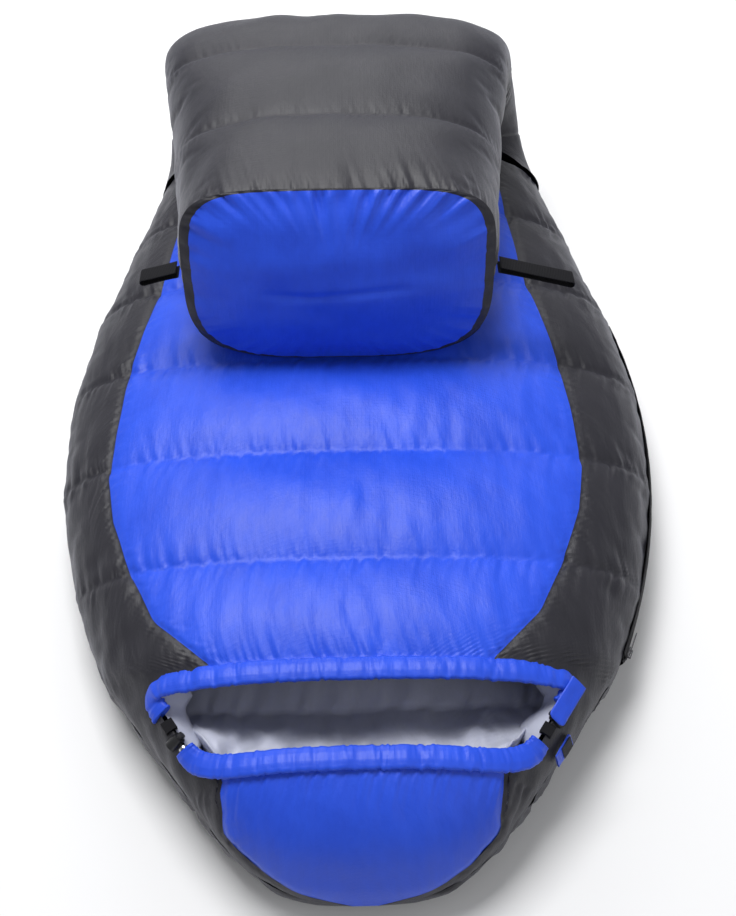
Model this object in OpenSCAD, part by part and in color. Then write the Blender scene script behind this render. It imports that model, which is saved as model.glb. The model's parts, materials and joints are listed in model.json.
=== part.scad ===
// Mummy sleeping bag, lying on its back quilt with the foot end folded back over the legs.
// X runs across the bag, Y from the hood to the fold, Z up. The origin is under the middle, on the floor.

/* [Bag] */
// Length as it lies folded, from the crown of the hood to the fold
folded_length = 1390; // [1250:10:1600]
// Width over the shoulders
body_width = 831; // [721:10:991]
// Height of the body over the chest
body_height = 200; // [165:1:225]
// Height of the widest line, where the zip runs
side_height = 80; // [66:1:90]
// Loft of one quilt, from shell to lining
quilt_loft = 54; // [40:1:58]
// Thickness at which a shell or lining cloth is drawn
cloth = 1.4; // [1:0.1:2]
// Gap between layers of the quilt
layer_gap = 0.4; // [0.3:0.05:0.6]
// Length of the first chamber behind the mouth
first_chamber = 133; // [110:1:150]
// Slack between the fill and the lining
lining_gap = 2.6; // [2.4:0.1:3.5]
// Distance between the quilting seams
seam_pitch = 165; // [140:5:200]

/* [Hood and mouth] */
// Depth of the hood, from its crown to the lower rim
hood_depth = 116; // [105:1:130]
// Gap of the mouth along the bag
mouth_gap = 122; // [110:1:135]
// Half angle of the mouth round the section
mouth_angle = 77; // [74:0.5:78]
// Half angle at which the rims turn along the ends of the mouth
rim_angle = 62; // [56:0.5:63]
// Radius of a rim's turn
turn_r = 20; // [18:1:24]
// Room between the ends of the two rims, where a cord lock sits
lock_room = 40; // [38:1:44]
// Loft of the hood
hood_loft = 40; // [30:1:45]
// Half width of a rim tunnel
rim_half_width = 12; // [9:0.5:15]
// Half thickness of a rim tunnel
rim_half_depth = 8; // [6:0.5:10]
// Radius of the drawcord channel in a rim
channel_r = 3.2; // [2.6:0.1:4]
// Radius of the drawcords
cord_r = 1.5; // [1:0.1:2]
// Free length of a drawcord, between its rim and its anchor
cord_run = 26; // [24:0.5:28]

/* [Outline] */
// Radius of the shoulder and hip curve, which the zip follows
side_arc_r = 900; // [800:10:1300]
// Slope of the flank between crown and shoulder
flank_slope = 0.8; // [0.7:0.01:0.9]
// Distance from the crown to the widest place
widest_at = 680; // [560:10:700]
// Where the shoulder curve begins, measured from the crown
shoulder_start = 260; // [240:5:300]
// Where the shoulder curve ends, measured from the crown
hip_end = 860; // [800:10:950]
// Half width of the blue panel at its widest
panel_half = 316; // [260:2:340]

/* [Foot section] */
// Length of the folded part, from the fold axis to the foot panel
foot_length = 495; // [400:5:520]
// Height of the foot section at the fold
leg_height = 203; // [185:1:215]
// Half width of the foot section at the fold
shin_half = 278; // [250:2:330]
// Half width of the foot panel
foot_half = 208; // [180:2:240]
// Height of the foot section at the foot panel
foot_height = 236; // [200:1:260]
// Lean of the foot panel, away from the hood
foot_lean = 17; // [0:1:22]
// How far the foot panel domes out
foot_dome = 30; // [15:1:45]
// How far the folded section lies to the zip side; negative is to the other side
foot_shift = -20; // [-25:1:25]
// Width of the hang-loop webbing
webbing_width = 25; // [20:1:30]
// Reach of the right hang loop
loop_reach = 100; // [80:1:110]
// How much shorter the left one stands out
loop_shorter = 55; // [0:1:60]

/* [Zip] */
// Angle of the zip's head end round the side curve
zip_start = -26; // [-27:0.5:-22]
// Angle of the zip's foot end
zip_end = 11; // [6:0.5:11]
// Stand-off of the zip chain from the shell
zip_stand = 3.2; // [3:0.1:4]
// Radius of one coil
coil_r = 1.25; // [1:0.05:1.4]
// Running gap round the slider
slider_gap = 0.4; // [0.3:0.05:0.6]

/* [Cord lock] */
// Radius of the barrel
barrel_r = 7; // [6.5:0.5:8]
// Height of the barrel
barrel_h = 16; // [15:0.5:18]
// Radius of the plunger
plunger_r = 4.2; // [3.8:0.1:4.6]
// Running clearance of the plunger in its bore
plunger_clearance = 0.05; // [0.02:0.01:0.1]
// Travel of the plunger
plunger_travel = 3; // [2:0.5:3.5]

/* [Hidden] */

blue = "royalblue";
charcoal = "dimgray";
grey = "silver";
black = "#202024";
steel = "gainsboro";
down_white = "whitesmoke";

// Places along the bag
crown_y = -folded_length / 2;
tip_y = crown_y + 0.5;
mouth_front = crown_y + hood_depth;
mouth_back = mouth_front + mouth_gap;
fold_y = folded_length / 2 - body_height;
foot_y = fold_y - foot_length;
shoulder_y = crown_y + shoulder_start;
hip_y = crown_y + hip_end;
cavity_y = crown_y + 62;
lining_start = 60;

first_seam = mouth_back + first_chamber;
body_seams = [mouth_back, for (y = [first_seam:seam_pitch:fold_y - seam_pitch / 2]) y, fold_y];
base_seams = concat([tip_y], body_seams);

// Shape of the sections: how square each curve is
dome_power = 2.6;
sole_power = 5;
sole_flat = 1.04;
back_power = 2.5;
end_power = 5;
end_sole_power = 3.4;
crown_power = 2.2;
hood_side = 0.45;
deepest = 0.86;

// ---- plan outline ----

arc_x = body_width / 2 - side_arc_r;
widest_y = crown_y + widest_at;
function on_side_arc(y) = arc_x + sqrt(side_arc_r * side_arc_r - pow(y - widest_y, 2));
flank_angle = atan(flank_slope);
flank_apex = shoulder_y - on_side_arc(shoulder_y) / flank_slope;
crown_centre = (crown_y - flank_apex * sin(flank_angle)) / (1 - sin(flank_angle));
crown_fit = crown_centre - crown_y;
crown_touch = crown_centre - crown_fit * sin(flank_angle);
taper = (on_side_arc(hip_y) - on_side_arc(hip_y - 1));

// Half width of the bag at y, on its widest line
function half_width(y) =
    y < crown_touch ? sqrt(max(1, crown_fit * crown_fit - pow(y - crown_centre, 2)))
    : y < shoulder_y ? on_side_arc(shoulder_y) - flank_slope * (shoulder_y - y)
    : y < hip_y ? on_side_arc(y)
    : on_side_arc(hip_y) + taper * (y - hip_y);

// Height of the top of the section at y
function top_height(y) =
    y >= mouth_back ? body_height
    : body_height * pow(1 - pow((mouth_back - y) / (mouth_back - crown_y), crown_power), 1 / crown_power);

// Height of the widest line at y
function mid_height(y) = min(side_height, hood_side * top_height(y));

// Half width of the blue panels at y
blue_stations = [
    [0, 0.33], [60, 0.44], [145, 0.53], [237, 0.63], [300, 0.76], [373, 0.82],
    [450, 0.95], [521, 1], [704, 0.99], [900, 0.93], [1210, 0.80]
];
function panel_width(y) = panel_half * lookup(y - crown_y, blue_stations);

// ---- sections ----

// A section is [half width, low z, widest z, top z, power of the lower curve, power of the upper one,
// flatness of the lower curve]. Angle 0 is the top, 90 the right side, 180 the bottom.
body_section = function (y)
    [half_width(y), 0, mid_height(y), top_height(y), sole_power, dome_power, sole_flat];

function along_foot(y) = (fold_y - y) / foot_length;
fold_top = body_height + leg_height;
// The section grows squarer towards the foot panel
foot_section = function (y)
    let (t = along_foot(y), squaring = pow(max(0, t), 4))
    [
        shin_half + (foot_half - shin_half) * t,
        body_height + layer_gap,
        fold_top - side_height + (side_height - leg_height + foot_height / 2) * t,
        fold_top + (foot_height - leg_height) * t,
        dome_power + (end_sole_power - dome_power) * squaring,
        back_power + (end_power - back_power) * squaring,
        1
    ];

// Point of a section at an angle, a depth below its outer surface
function section_point(s, angle, depth) =
    let (
        upper = abs(angle) <= 90,
        rise = upper ? s[3] - s[2] : s[2] - s[1],
        power = upper ? s[5] : s[4],
        flat = upper ? 1 : s[6],
        d = min(depth, deepest * min(s[0], s[3] - s[2], s[2] - s[1])),
        c = min(1, flat * pow(abs(cos(angle)), 2 / power)),
        split = upper ? side_gap : 0,
        x = sign(sin(angle)) * (s[0] - d) * pow(abs(sin(angle)), 2 / power)
    )
    [x, s[2] + split + (upper ? 1 : -1) * (rise - split - d) * c];

// Angle on the upper curve whose half width is w
function angle_at(s, w) = asin(pow(min(0.97, w / s[0]), s[5] / 2));

// ---- solids ----

function grid_faces(rows, cols, first, flip) = [
    for (r = [0:rows - 2], c = [0:cols - 2])
        let (a = first + r * cols + c, b = a + 1, d = a + cols, e = d + 1)
        each flip ? [[a, b, e], [a, e, d]] : [[a, e, b], [a, d, e]]
];

// Walls that close a slab of two grids along its four edges
function edge_faces(rows, cols) =
    let (n = rows * cols)
    [
        for (c = [0:cols - 2])
            each [[c, c + 1, n + c + 1], [c, n + c + 1, n + c]],
        for (c = [0:cols - 2])
            let (a = (rows - 1) * cols + c)
            each [[a, n + a + 1, a + 1], [a, n + a, n + a + 1]],
        for (r = [0:rows - 2])
            let (a = r * cols)
            each [[a, n + a + cols, a + cols], [a, n + a, n + a + cols]],
        for (r = [0:rows - 2])
            let (a = r * cols + cols - 1)
            each [[a, a + cols, n + a + cols], [a, n + a + cols, n + a]]
    ];

// A closed slab between two grids of points
module slab(outer, inner) {
    rows = len(outer);
    cols = len(outer[0]);
    polyhedron(
        points = [for (row = outer) each row, for (row = inner) each row],
        faces = concat(
            grid_faces(rows, cols, 0, false),
            grid_faces(rows, cols, rows * cols, true),
            edge_faces(rows, cols)
        )
    );
}

function steps(from, to, n) = [for (i = [0:n]) from + (to - from) * i / n];

// Places at which every layer of the body has a row of points: closer together at the crown
stations = concat(
    [for (i = [0:8]) tip_y + (mouth_front - tip_y) * pow(i / 8, 2)],
    [(mouth_front + mouth_back) / 2],
    [for (i = [0:len(body_seams) - 2]) each [body_seams[i], (body_seams[i] + body_seams[i + 1]) / 2]]
);
function rows_between(from, to) =
    concat([from], [for (y = stations) if (y > from + 3 && y < to - 3) y], [to]);

// Layer of the body between two depths, two angles (functions of y) and two places
module body_layer(from_y, to_y, from_angle, to_angle, cols, from_depth, to_depth) {
    ys = rows_between(from_y, to_y);
    function grid(depth) = [
        for (y = ys)
            let (s = body_section(y))
            [for (a = steps(from_angle(y), to_angle(y), cols))
                let (p = section_point(s, a, depth)) [p[0], y, p[1]]]
    ];
    slab(grid(from_depth), grid(to_depth));
}

lean = tan(foot_lean);
function foot_point(y, angle, depth) =
    let (
        s = foot_section(y),
        p = section_point(s, angle, depth),
        t = along_foot(y)
    )
    [foot_shift + p[0], y + max(0, t) * lean * (p[1] - s[1]), p[1]];

module foot_layer(from_y, to_y, rows, from_angle, to_angle, cols, from_depth, to_depth) {
    ys = steps(from_y, to_y, rows);
    function grid(depth) = [
        for (y = ys)
            [for (a = steps(from_angle(y), to_angle(y), cols)) foot_point(y, a, depth)]
    ];
    slab(grid(from_depth), grid(to_depth));
}

// ---- quilts of the body ----

wall = cloth;
down_from = cloth + layer_gap;
down_to = quilt_loft;
lining_from = quilt_loft + lining_gap;
lining_to = lining_from + cloth;
hood_lining_from = hood_loft + lining_gap;
part_gap = 0.25;
side_gap = 0.3;
past = 0.000001;

function seam_angle(y) = angle_at(body_section(y), panel_width(y));
left_seam = function (y) -seam_angle(y) - part_gap;
right_seam = function (y) seam_angle(y) + part_gap;
panel_left = function (y) -seam_angle(y);
panel_right = function (y) seam_angle(y);
side_right = function (y) 90;
side_left = function (y) -90;
under_right = function (y) 90 + past;
under_left = function (y) 270 - past;
mouth_left = function (y) -mouth_angle - part_gap;

// One down chamber for each pair of neighbouring seams
module chambers(seams, from_angle, to_angle, cols, from_depth, to_depth) {
    for (i = [0:len(seams) - 2])
        body_layer(
            seams[i] + (i == 0 ? 0 : wall / 2 + layer_gap),
            seams[i + 1] - (i == len(seams) - 2 ? 0 : wall / 2 + layer_gap),
            from_angle, to_angle, cols, from_depth, to_depth
        );
}

module baffle_walls(seams, from_angle, to_angle, cols) {
    for (i = [1:len(seams) - 2])
        body_layer(
            seams[i] - wall / 2, seams[i] + wall / 2,
            from_angle, to_angle, cols, down_from, down_to
        );
}

module base_shell()
    color(charcoal) body_layer(tip_y, fold_y, under_right, under_left, 16, 0, cloth);
module base_down()
    color(down_white) chambers(base_seams, under_right, under_left, 16, down_from, down_to);
module base_baffle_walls()
    color(grey) baffle_walls(base_seams, under_right, under_left, 16);
module base_lining()
    color(grey)
        body_layer(cavity_y + lining_start, fold_y, under_right, under_left, 16, lining_from, lining_to);

module chest_shell()
    color(blue) body_layer(mouth_back, fold_y, panel_left, panel_right, 12, 0, cloth);
module chest_down()
    color(down_white) chambers(body_seams, panel_left, panel_right, 12, down_from, down_to);
module chest_baffle_walls()
    color(grey) baffle_walls(body_seams, panel_left, panel_right, 12);
module chest_lining()
    color(grey) body_layer(mouth_back, fold_y, side_left, side_right, 14, lining_from, lining_to);

module left_side_shell()
    color(charcoal) {
        body_layer(mouth_back, fold_y, side_left, left_seam, 6, 0, cloth);
        body_layer(mouth_front, mouth_back - layer_gap, side_left, mouth_left, 2, 0, cloth);
    }
module left_side_down()
    color(down_white) {
        chambers(body_seams, side_left, left_seam, 6, down_from, down_to);
        body_layer(mouth_front, mouth_back - layer_gap, side_left, mouth_left, 2, down_from, hood_loft);
    }
module right_side_shell() mirror([1, 0, 0]) left_side_shell();
module right_side_down() mirror([1, 0, 0]) left_side_down();

// ---- hood ----

hood_front = mouth_front - layer_gap;
module hood_crown_shell()
    color(blue) body_layer(tip_y, hood_front, panel_left, panel_right, 8, 0, cloth);
module hood_crown_down()
    color(down_white) body_layer(tip_y, hood_front, panel_left, panel_right, 8, down_from, hood_loft);
module hood_left_shell()
    color(charcoal) body_layer(tip_y, hood_front, side_left, left_seam, 6, 0, cloth);
module hood_left_down()
    color(down_white) body_layer(tip_y, hood_front, side_left, left_seam, 6, down_from, hood_loft);
module hood_right_shell() mirror([1, 0, 0]) hood_left_shell();
module hood_right_down() mirror([1, 0, 0]) hood_left_down();
module hood_lining()
    color(grey)
        body_layer(
            cavity_y, hood_front, side_left, side_right, 12, hood_lining_from, hood_lining_from + cloth
        );

// ---- rims, drawcords and collar ----

rim_gap = 0.4;
chest_rim_y = mouth_back - rim_half_width - rim_gap;
hood_rim_y = mouth_front + rim_half_width + rim_gap;
mouth_middle = (chest_rim_y + hood_rim_y) / 2;
rim_depth = rim_half_depth + 1;

function rim_point(y, angle, depth) =
    let (p = section_point(body_section(y), angle, depth)) [p[0], y, p[1]];
corner_at = rim_point(mouth_middle, rim_angle, rim_depth);

// A rim crosses the mouth and turns along its two ends: pairs of an angle and a place along the bag
function rim_path(y, toward, turn_angle, turn) =
    let (
        end = mouth_middle - toward * lock_room / 2,
        corner = [for (t = steps(0, 90, 4))
            [rim_angle - turn_angle * (1 - sin(t)), y + toward * turn * (1 - cos(t))]],
        inner = rim_angle - turn_angle,
        plan = concat(
            [[-rim_angle, end]],
            [for (i = [4:-1:0]) [-corner[i][0], corner[i][1]]],
            [for (a = steps(-inner * 0.85, inner * 0.85, 9)) [a, y]],
            corner,
            [[rim_angle, end]]
        )
    )
    [for (q = plan) rim_point(q[1], q[0], rim_depth)];
chest_rim_path = rim_path(chest_rim_y, -1, 12, turn_r);
hood_rim_path = rim_path(hood_rim_y, 1, 28, turn_r + 3);

function unit(v) = v / norm(v);

// Direction out of the body at a point of a rim
function rim_normal(p) =
    let (
        s = body_section(p[1]),
        a = s[0] - rim_depth,
        b = s[3] - s[2] - rim_depth
    )
    unit([
        sign(p[0]) * pow(abs(p[0]) / a, s[5] - 1) / a,
        0,
        pow(max(0, p[2] - s[2]) / b, s[5] - 1) / b
    ]);

function tangent(path, i) =
    unit(path[min(i + 1, len(path) - 1)] - path[max(i - 1, 0)]);

// Ring of points round a path, with half width a across and half thickness b
function path_ring(path, i, a, b, sides) =
    let (
        t = tangent(path, i),
        side = unit(cross(t, rim_normal(path[i]))),
        up = cross(side, t)
    )
    [for (k = [0:sides - 1])
        path[i] + a * cos(360 * k / sides) * side + b * sin(360 * k / sides) * up];

function tube_faces(rows, sides, first, flip) = [
    for (r = [0:rows - 2], k = [0:sides - 1])
        let (
            a = first + r * sides + k,
            b = first + r * sides + (k + 1) % sides,
            d = a + sides,
            e = b + sides
        )
        each flip ? [[a, e, b], [a, d, e]] : [[a, b, e], [a, e, d]]
];

module rope(path, r, sides) {
    n = len(path);
    polyhedron(
        points = [for (i = [0:n - 1]) each path_ring(path, i, r, r, sides)],
        faces = concat(
            tube_faces(n, sides, 0, false),
            [[for (k = [sides - 1:-1:0]) k]],
            [[for (k = [0:sides - 1]) (n - 1) * sides + k]]
        )
    );
}

// A flat tunnel with a round channel for the drawcord
module tunnel(path, a, b, hole, sides) {
    n = len(path);
    m = n * sides;
    polyhedron(
        points = [
            for (i = [0:n - 1]) each path_ring(path, i, a, b, sides),
            for (i = [0:n - 1]) each path_ring(path, i, hole, hole, sides)
        ],
        faces = concat(
            tube_faces(n, sides, 0, false),
            tube_faces(n, sides, m, true),
            [for (k = [0:sides - 1])
                let (j = (k + 1) % sides) each [[k, m + k, m + j], [k, m + j, j]]],
            [for (k = [0:sides - 1])
                let (j = (k + 1) % sides, a = (n - 1) * sides)
                each [[a + k, a + j, m + a + j], [a + k, m + a + j, m + a + k]]]
        )
    );
}

module chest_rim()
    color(blue) tunnel(chest_rim_path, rim_half_width, rim_half_depth, channel_r, 10);
module hood_rim()
    color(blue) tunnel(hood_rim_path, rim_half_width, rim_half_depth, channel_r, 10);

// Each cord leaves its rim at one end, runs through its lock and ends in a sewn anchor at the other rim
neck_end = chest_rim_path[len(chest_rim_path) - 1];
neck_out = unit(hood_rim_path[len(hood_rim_path) - 1] - neck_end);
hood_end = hood_rim_path[0];
hood_out = unit(chest_rim_path[0] - hood_end);
anchor_l = lock_room - cord_run - 0.6;

module neck_drawcord()
    color(black) rope(concat(chest_rim_path, [neck_end + cord_run * neck_out]), cord_r, 8);
module hood_drawcord()
    color(black) rope(concat([hood_end + cord_run * hood_out], hood_rim_path), cord_r, 8);

// Places its children at a point, with their Z axis along a direction
module facing(at, along) {
    d = unit(along);
    translate(at) rotate([0, acos(d[2]), atan2(d[1], d[0])]) children();
}

eyelet_r = 5.5;
eyelet_h = 2.4;
module eyelet(at, along)
    facing(at + 0.3 * along, along)
        difference() {
            cylinder(h = eyelet_h, r = eyelet_r, $fn = 40);
            translate([0, 0, -1]) cylinder(h = eyelet_h + 2, r = cord_r + 0.3, $fn = 32);
        }
module eyelets()
    color(steel) {
        eyelet(neck_end, neck_out);
        eyelet(hood_end, hood_out);
    }

module cord_anchor(at, along)
    facing(at + (cord_run + 0.3) * along, along)
        translate([-4, -7, 0]) cube([8, 14, anchor_l]);
module cord_anchors()
    color(black) {
        cord_anchor(neck_end, neck_out);
        cord_anchor(hood_end, hood_out);
    }

collar_y = mouth_back + 34;
collar_half = 22;
collar_loft = 22;
module neck_collar()
    color(grey)
        body_layer(
            collar_y - collar_half, collar_y + collar_half, side_left, side_right, 14,
            lining_to + lining_gap, lining_to + lining_gap + collar_loft
        );

// ---- zip ----

chain_r = side_arc_r + zip_stand;
module on_arc() translate([arc_x, widest_y, side_height]) children();
module arc_sweep(from, to)
    on_arc() rotate([0, 0, from]) rotate_extrude(angle = to - from, $fn = 180) children();

// Tape from the chain to the shell, one half; its sewn edge lies on the shell at the seat
coil_split = 0.12;
coil_top = 2 * coil_r + coil_split;
tape_in = coil_top + 0.88;
tape_half = 0.3;
tape_bend = 9;
tape_seam = 14.6;
tape_out = 17;
module tape_profile(seat)
    polygon([
        [chain_r - tape_half, tape_in], [chain_r + tape_half, tape_in],
        [chain_r + tape_half, tape_bend + 0.2], [side_arc_r + seat + 3 * tape_half, tape_out],
        [side_arc_r + seat, tape_out], [side_arc_r + seat, tape_seam], [chain_r - tape_half, tape_bend]
    ]);
module zip_tape_upper() color(black) arc_sweep(zip_start, zip_end) tape_profile(0.2);
module zip_tape_lower()
    color(black) arc_sweep(zip_start, zip_end) mirror([0, 1]) tape_profile(0.3);
coil_inset = 0.15;
module coil_profile() translate([chain_r, coil_r + coil_split]) circle(r = coil_r, $fn = 20);
module zip_coil_upper()
    color(charcoal) arc_sweep(zip_start + coil_inset, zip_end - coil_inset) coil_profile();
module zip_coil_lower()
    color(charcoal) arc_sweep(zip_start + coil_inset, zip_end - coil_inset) mirror([0, 1]) coil_profile();

stop_block = [3.2, 5.4];
module stop_profile()
    translate([chain_r - stop_block[0] / 2, -stop_block[1] / 2]) square(stop_block);
module zip_stops()
    color(steel) {
        arc_sweep(zip_start - 0.05, zip_start + 0.1) stop_profile();
        arc_sweep(zip_end - 0.1, zip_end + 0.15) stop_profile();
    }

// A stuffed tube behind the zip, sewn on by a flange
tube_r = 13;
tube_x = side_arc_r - lining_to - 27;
flange_x = side_arc_r - lining_to - 2.2;
module zip_draught_tube()
    color(grey)
        arc_sweep(zip_start + 3, zip_end) {
            translate([tube_x, tube_r + 2]) circle(r = tube_r, $fn = 28);
            translate([tube_x, 1.4]) square([flange_x - tube_x, 1.4]);
        }

// The slider straddles both coils: an outer plate, an inner plate and the post between them
slider_rest = zip_start + 0.75;
slider_half = 0.42;
plate = 1.2;
slider_reach = 6.5;
coil_room = coil_r + slider_gap;
post_gap = 0.1;
lip_w = 1.4;
weld = 0.2;
module slider_profile() {
    translate([chain_r + coil_room, -slider_reach]) square([plate, 2 * slider_reach]);
    translate([chain_r - coil_room - plate + weld / 2, -slider_reach]) square([plate, 2 * slider_reach]);
}
lip_in = coil_top + slider_gap;
module lip_profile()
    translate([chain_r + tape_half + slider_gap, lip_in])
        square([coil_room - tape_half - slider_gap + weld, lip_w]);
bail_r = chain_r + coil_room + plate;
bail_gap = 2.6;
module zip_slider()
    color(steel) {
        arc_sweep(slider_rest - slider_half, slider_rest + slider_half) {
            slider_profile();
            lip_profile();
            mirror([0, 1]) lip_profile();
        }
        // a thin post between the upper coil and its tape joins the two plates
        arc_sweep(slider_rest - slider_half, slider_rest - slider_half + 0.05)
            translate([chain_r - coil_room, coil_top + post_gap])
                square([2 * coil_room, tape_in - coil_top - 2 * post_gap]);
        // bail
        for (a = [-0.32, 0.32])
            arc_sweep(slider_rest + a - 0.05, slider_rest + a + 0.05)
                translate([bail_r - 0.1, -1]) square([bail_gap + 1.3, 2]);
        arc_sweep(slider_rest - 0.37, slider_rest + 0.37)
            translate([bail_r + bail_gap, -1]) square([1.2, 2]);
    }

puller_w = 9;
puller_l = 30;
puller_t = 1.2;
arm_w = 1.5;
arm_l = 8;
bar_r = 0.7;
// The puller's crossbar lies under the bail and its two arms pass beside it
module zip_puller()
    color(steel) on_arc() rotate([0, 0, slider_rest])
        translate([bail_r + bail_gap / 2, 0, 0]) {
            cylinder(h = puller_w, r = bar_r, center = true, $fn = 24);
            for (side = [-1, 1])
                translate([-puller_t / 2, 0, side * (puller_w - arm_w) / 2 - arm_w / 2])
                    cube([puller_t, arm_l, arm_w]);
            translate([-puller_t / 2, arm_l, -puller_w / 2]) cube([puller_t, puller_l - arm_l, puller_w]);
        }

// ---- cord locks ----

spring_r = 3;
spring_wire = 0.4;
spring_turns = 3;
bore_floor = 2;
spring_h = plunger_travel + spring_turns * 2 * spring_wire + 0.6;
spring_step = (spring_h - 2 * spring_wire) / (spring_turns - 1);
spring_gap = 0.2;
plunger_h = barrel_h - bore_floor - spring_h - spring_gap + plunger_travel + 1;
lock_hole = cord_r + 0.4;
hole_z = barrel_h - lock_hole - 1.8;
lock_at = cord_run / 2 + 1.4;

// Slope of the surface across the free run of a cord
corner_in = rim_point(mouth_middle, rim_angle - 5, rim_depth);
corner_slope = atan((corner_at[2] - corner_in[2]) / (corner_at[0] - corner_in[0]) * abs(neck_out[1]));

// Frame on a free run: Y along the run, towards the foot, and X lying on the surface
module run_frame(at, along, side) {
    u = -side * along;
    translate(at)
        rotate([0, 0, atan2(-u[0], u[1])]) rotate([asin(u[2]), 0, 0]) rotate([0, -side * corner_slope, 0])
            children();
}

// The barrel lies across the cord, its plunger towards the middle of the mouth
module lock_frame(at, along, side)
    run_frame(at + lock_at * along, along, side)
        rotate([0, -side * 90, 0]) translate([0, 0, -hole_z]) children();
module lock_barrel()
    color(black)
        difference() {
            cylinder(h = barrel_h, r = barrel_r, $fn = 48);
            translate([0, 0, bore_floor]) cylinder(h = barrel_h, r = plunger_r + plunger_clearance, $fn = 48);
            translate([0, 0, hole_z]) rotate([90, 0, 0])
                cylinder(h = 4 * barrel_r, r = lock_hole, center = true, $fn = 32);
        }
module lock_spring()
    color(steel)
        for (i = [0:spring_turns - 1])
            translate([0, 0, bore_floor + spring_gap + spring_wire + i * spring_step])
                rotate_extrude($fn = 40) translate([spring_r, 0]) circle(r = spring_wire, $fn = 16);
module lock_plunger()
    color(charcoal)
        difference() {
            translate([0, 0, bore_floor + spring_h + 2 * spring_gap])
                cylinder(h = plunger_h, r = plunger_r, $fn = 48);
            translate([0, 0, hole_z]) rotate([90, 0, 0])
                linear_extrude(height = 4 * barrel_r, center = true)
                    hull() {
                        translate([0, -0.2]) circle(r = lock_hole, $fn = 24);
                        translate([0, plunger_travel]) circle(r = lock_hole, $fn = 24);
                    }
        }
module left_lock_barrel() lock_frame(hood_end, hood_out, -1) lock_barrel();
module left_lock_spring() lock_frame(hood_end, hood_out, -1) lock_spring();
module left_lock_plunger() lock_frame(hood_end, hood_out, -1) lock_plunger();
module right_lock_barrel() lock_frame(neck_end, neck_out, 1) lock_barrel();
module right_lock_spring() lock_frame(neck_end, neck_out, 1) lock_spring();
module right_lock_plunger() lock_frame(neck_end, neck_out, 1) lock_plunger();

// ---- closure tabs at the right end of the mouth ----

tab_w = 24;
tab_l = 56;
lower_tab_l = 34;
tab_t = 2;
pad_t = 1.2;
pad_inset = 3;
hook_pad_l = 16;
loop_pad_l = 19;
pad_gap = 0.2;
tab_clear = 1.8;
root_l = 8;
root_drop = 0.1;
lower_drop = 1.4;
tab_rest = 2.8;
// The upper tab is sewn to the chest rim and covers the right lock; the lower one lies beside it
module upper_frame()
    run_frame(rim_point(chest_rim_y - 4, rim_angle - 3, 0), neck_out, 1)
        translate([0, 0, tab_clear]) children();
lower_at = rim_point(hood_rim_y + 18, 80, 0);
lower_in = rim_point(hood_rim_y + 18, 76, 0);
lower_slope = atan((lower_at[2] - lower_in[2]) / (lower_at[0] - lower_in[0]) * abs(neck_out[1]));
module lower_frame()
    translate(lower_at) rotate([0, 0, atan2(neck_out[0], -neck_out[1])])
        rotate([0, -lower_slope, 0]) translate([0, 0, tab_rest]) children();
module upper_tab()
    color(blue) upper_frame() {
        translate([-tab_w / 2, -tab_l, 0]) cube([tab_w, tab_l, tab_t]);
        translate([-tab_w / 2, -root_l, -root_drop]) cube([tab_w, root_l, root_drop + tab_t]);
    }
module upper_tab_hook_pad()
    color(black) upper_frame()
        translate([-tab_w / 2 + pad_inset, -tab_l + pad_inset, -pad_t - pad_gap])
            cube([tab_w - 2 * pad_inset, hook_pad_l, pad_t]);
module lower_tab()
    color(blue) lower_frame() {
        translate([-tab_w / 2, 0, 0]) cube([tab_w, lower_tab_l, tab_t]);
        translate([-root_l, 0, -lower_drop]) cube([2 * root_l, root_l, lower_drop + tab_t]);
    }
module lower_tab_loop_pad()
    color(black) lower_frame()
        translate([-tab_w / 2 + pad_inset, lower_tab_l - pad_inset - loop_pad_l, tab_t + pad_gap])
            cube([tab_w - 2 * pad_inset, loop_pad_l, pad_t]);

// ---- the fold ----

// The body's end section is carried round the fold axis and narrows into the foot section
fold_gap = 0.6;
function fold_point(turn, angle, depth) =
    let (
        t = turn / 180,
        a = body_section(fold_y),
        b = foot_section(fold_y),
        p = section_point(a, 180 - angle > 270 ? -180 - angle : 180 - angle, depth),
        q = section_point(b, angle, depth),
        x = p[0] * (1 - t) + (foot_shift + q[0]) * t,
        r = (body_height - p[1]) * (1 - t) + (q[1] - body_height) * t
    )
    [x, fold_y + fold_gap + r * sin(turn), body_height - r * cos(turn)];

module fold_layer(turns, span, cols, from_depth, to_depth) {
    function grid(depth) = [
        for (turn = steps(0, 180, turns)) [for (a = steps(-span, span, cols)) fold_point(turn, a, depth)]
    ];
    slab(grid(from_depth), grid(to_depth));
}
fold_span = 118;
module knee_fold_shell() color(charcoal) fold_layer(12, fold_span, 16, 0, cloth);
module knee_fold_down() color(down_white) fold_layer(12, fold_span, 16, down_from, down_to);
fold_lining = quilt_loft + 0.8;
module knee_fold_lining() color(grey) fold_layer(12, fold_span, 16, fold_lining, fold_lining + cloth);

// ---- foot section ----

back_left = function (y) -90;
back_right = function (y) 90;
front_right = function (y) 90 + past;
front_left = function (y) 270 - past;
toe_panel_angle = 40;
toe_right = function (y) 180 - toe_panel_angle;
toe_left = function (y) 180 + toe_panel_angle;
toe_right_out = function (y) 180 - toe_panel_angle - part_gap;
toe_left_out = function (y) 180 + toe_panel_angle + part_gap;
foot_walls = 3;
foot_rows = 2 * foot_walls;

module foot_chambers(from_angle, to_angle, cols)
    for (i = [0:foot_walls - 1])
        foot_layer(
            foot_y + (fold_y - foot_y) * i / foot_walls + (i == 0 ? 0 : layer_gap),
            foot_y + (fold_y - foot_y) * (i + 1) / foot_walls - (i == foot_walls - 1 ? 0 : layer_gap),
            2, from_angle, to_angle, cols, down_from, down_to
        );

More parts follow.
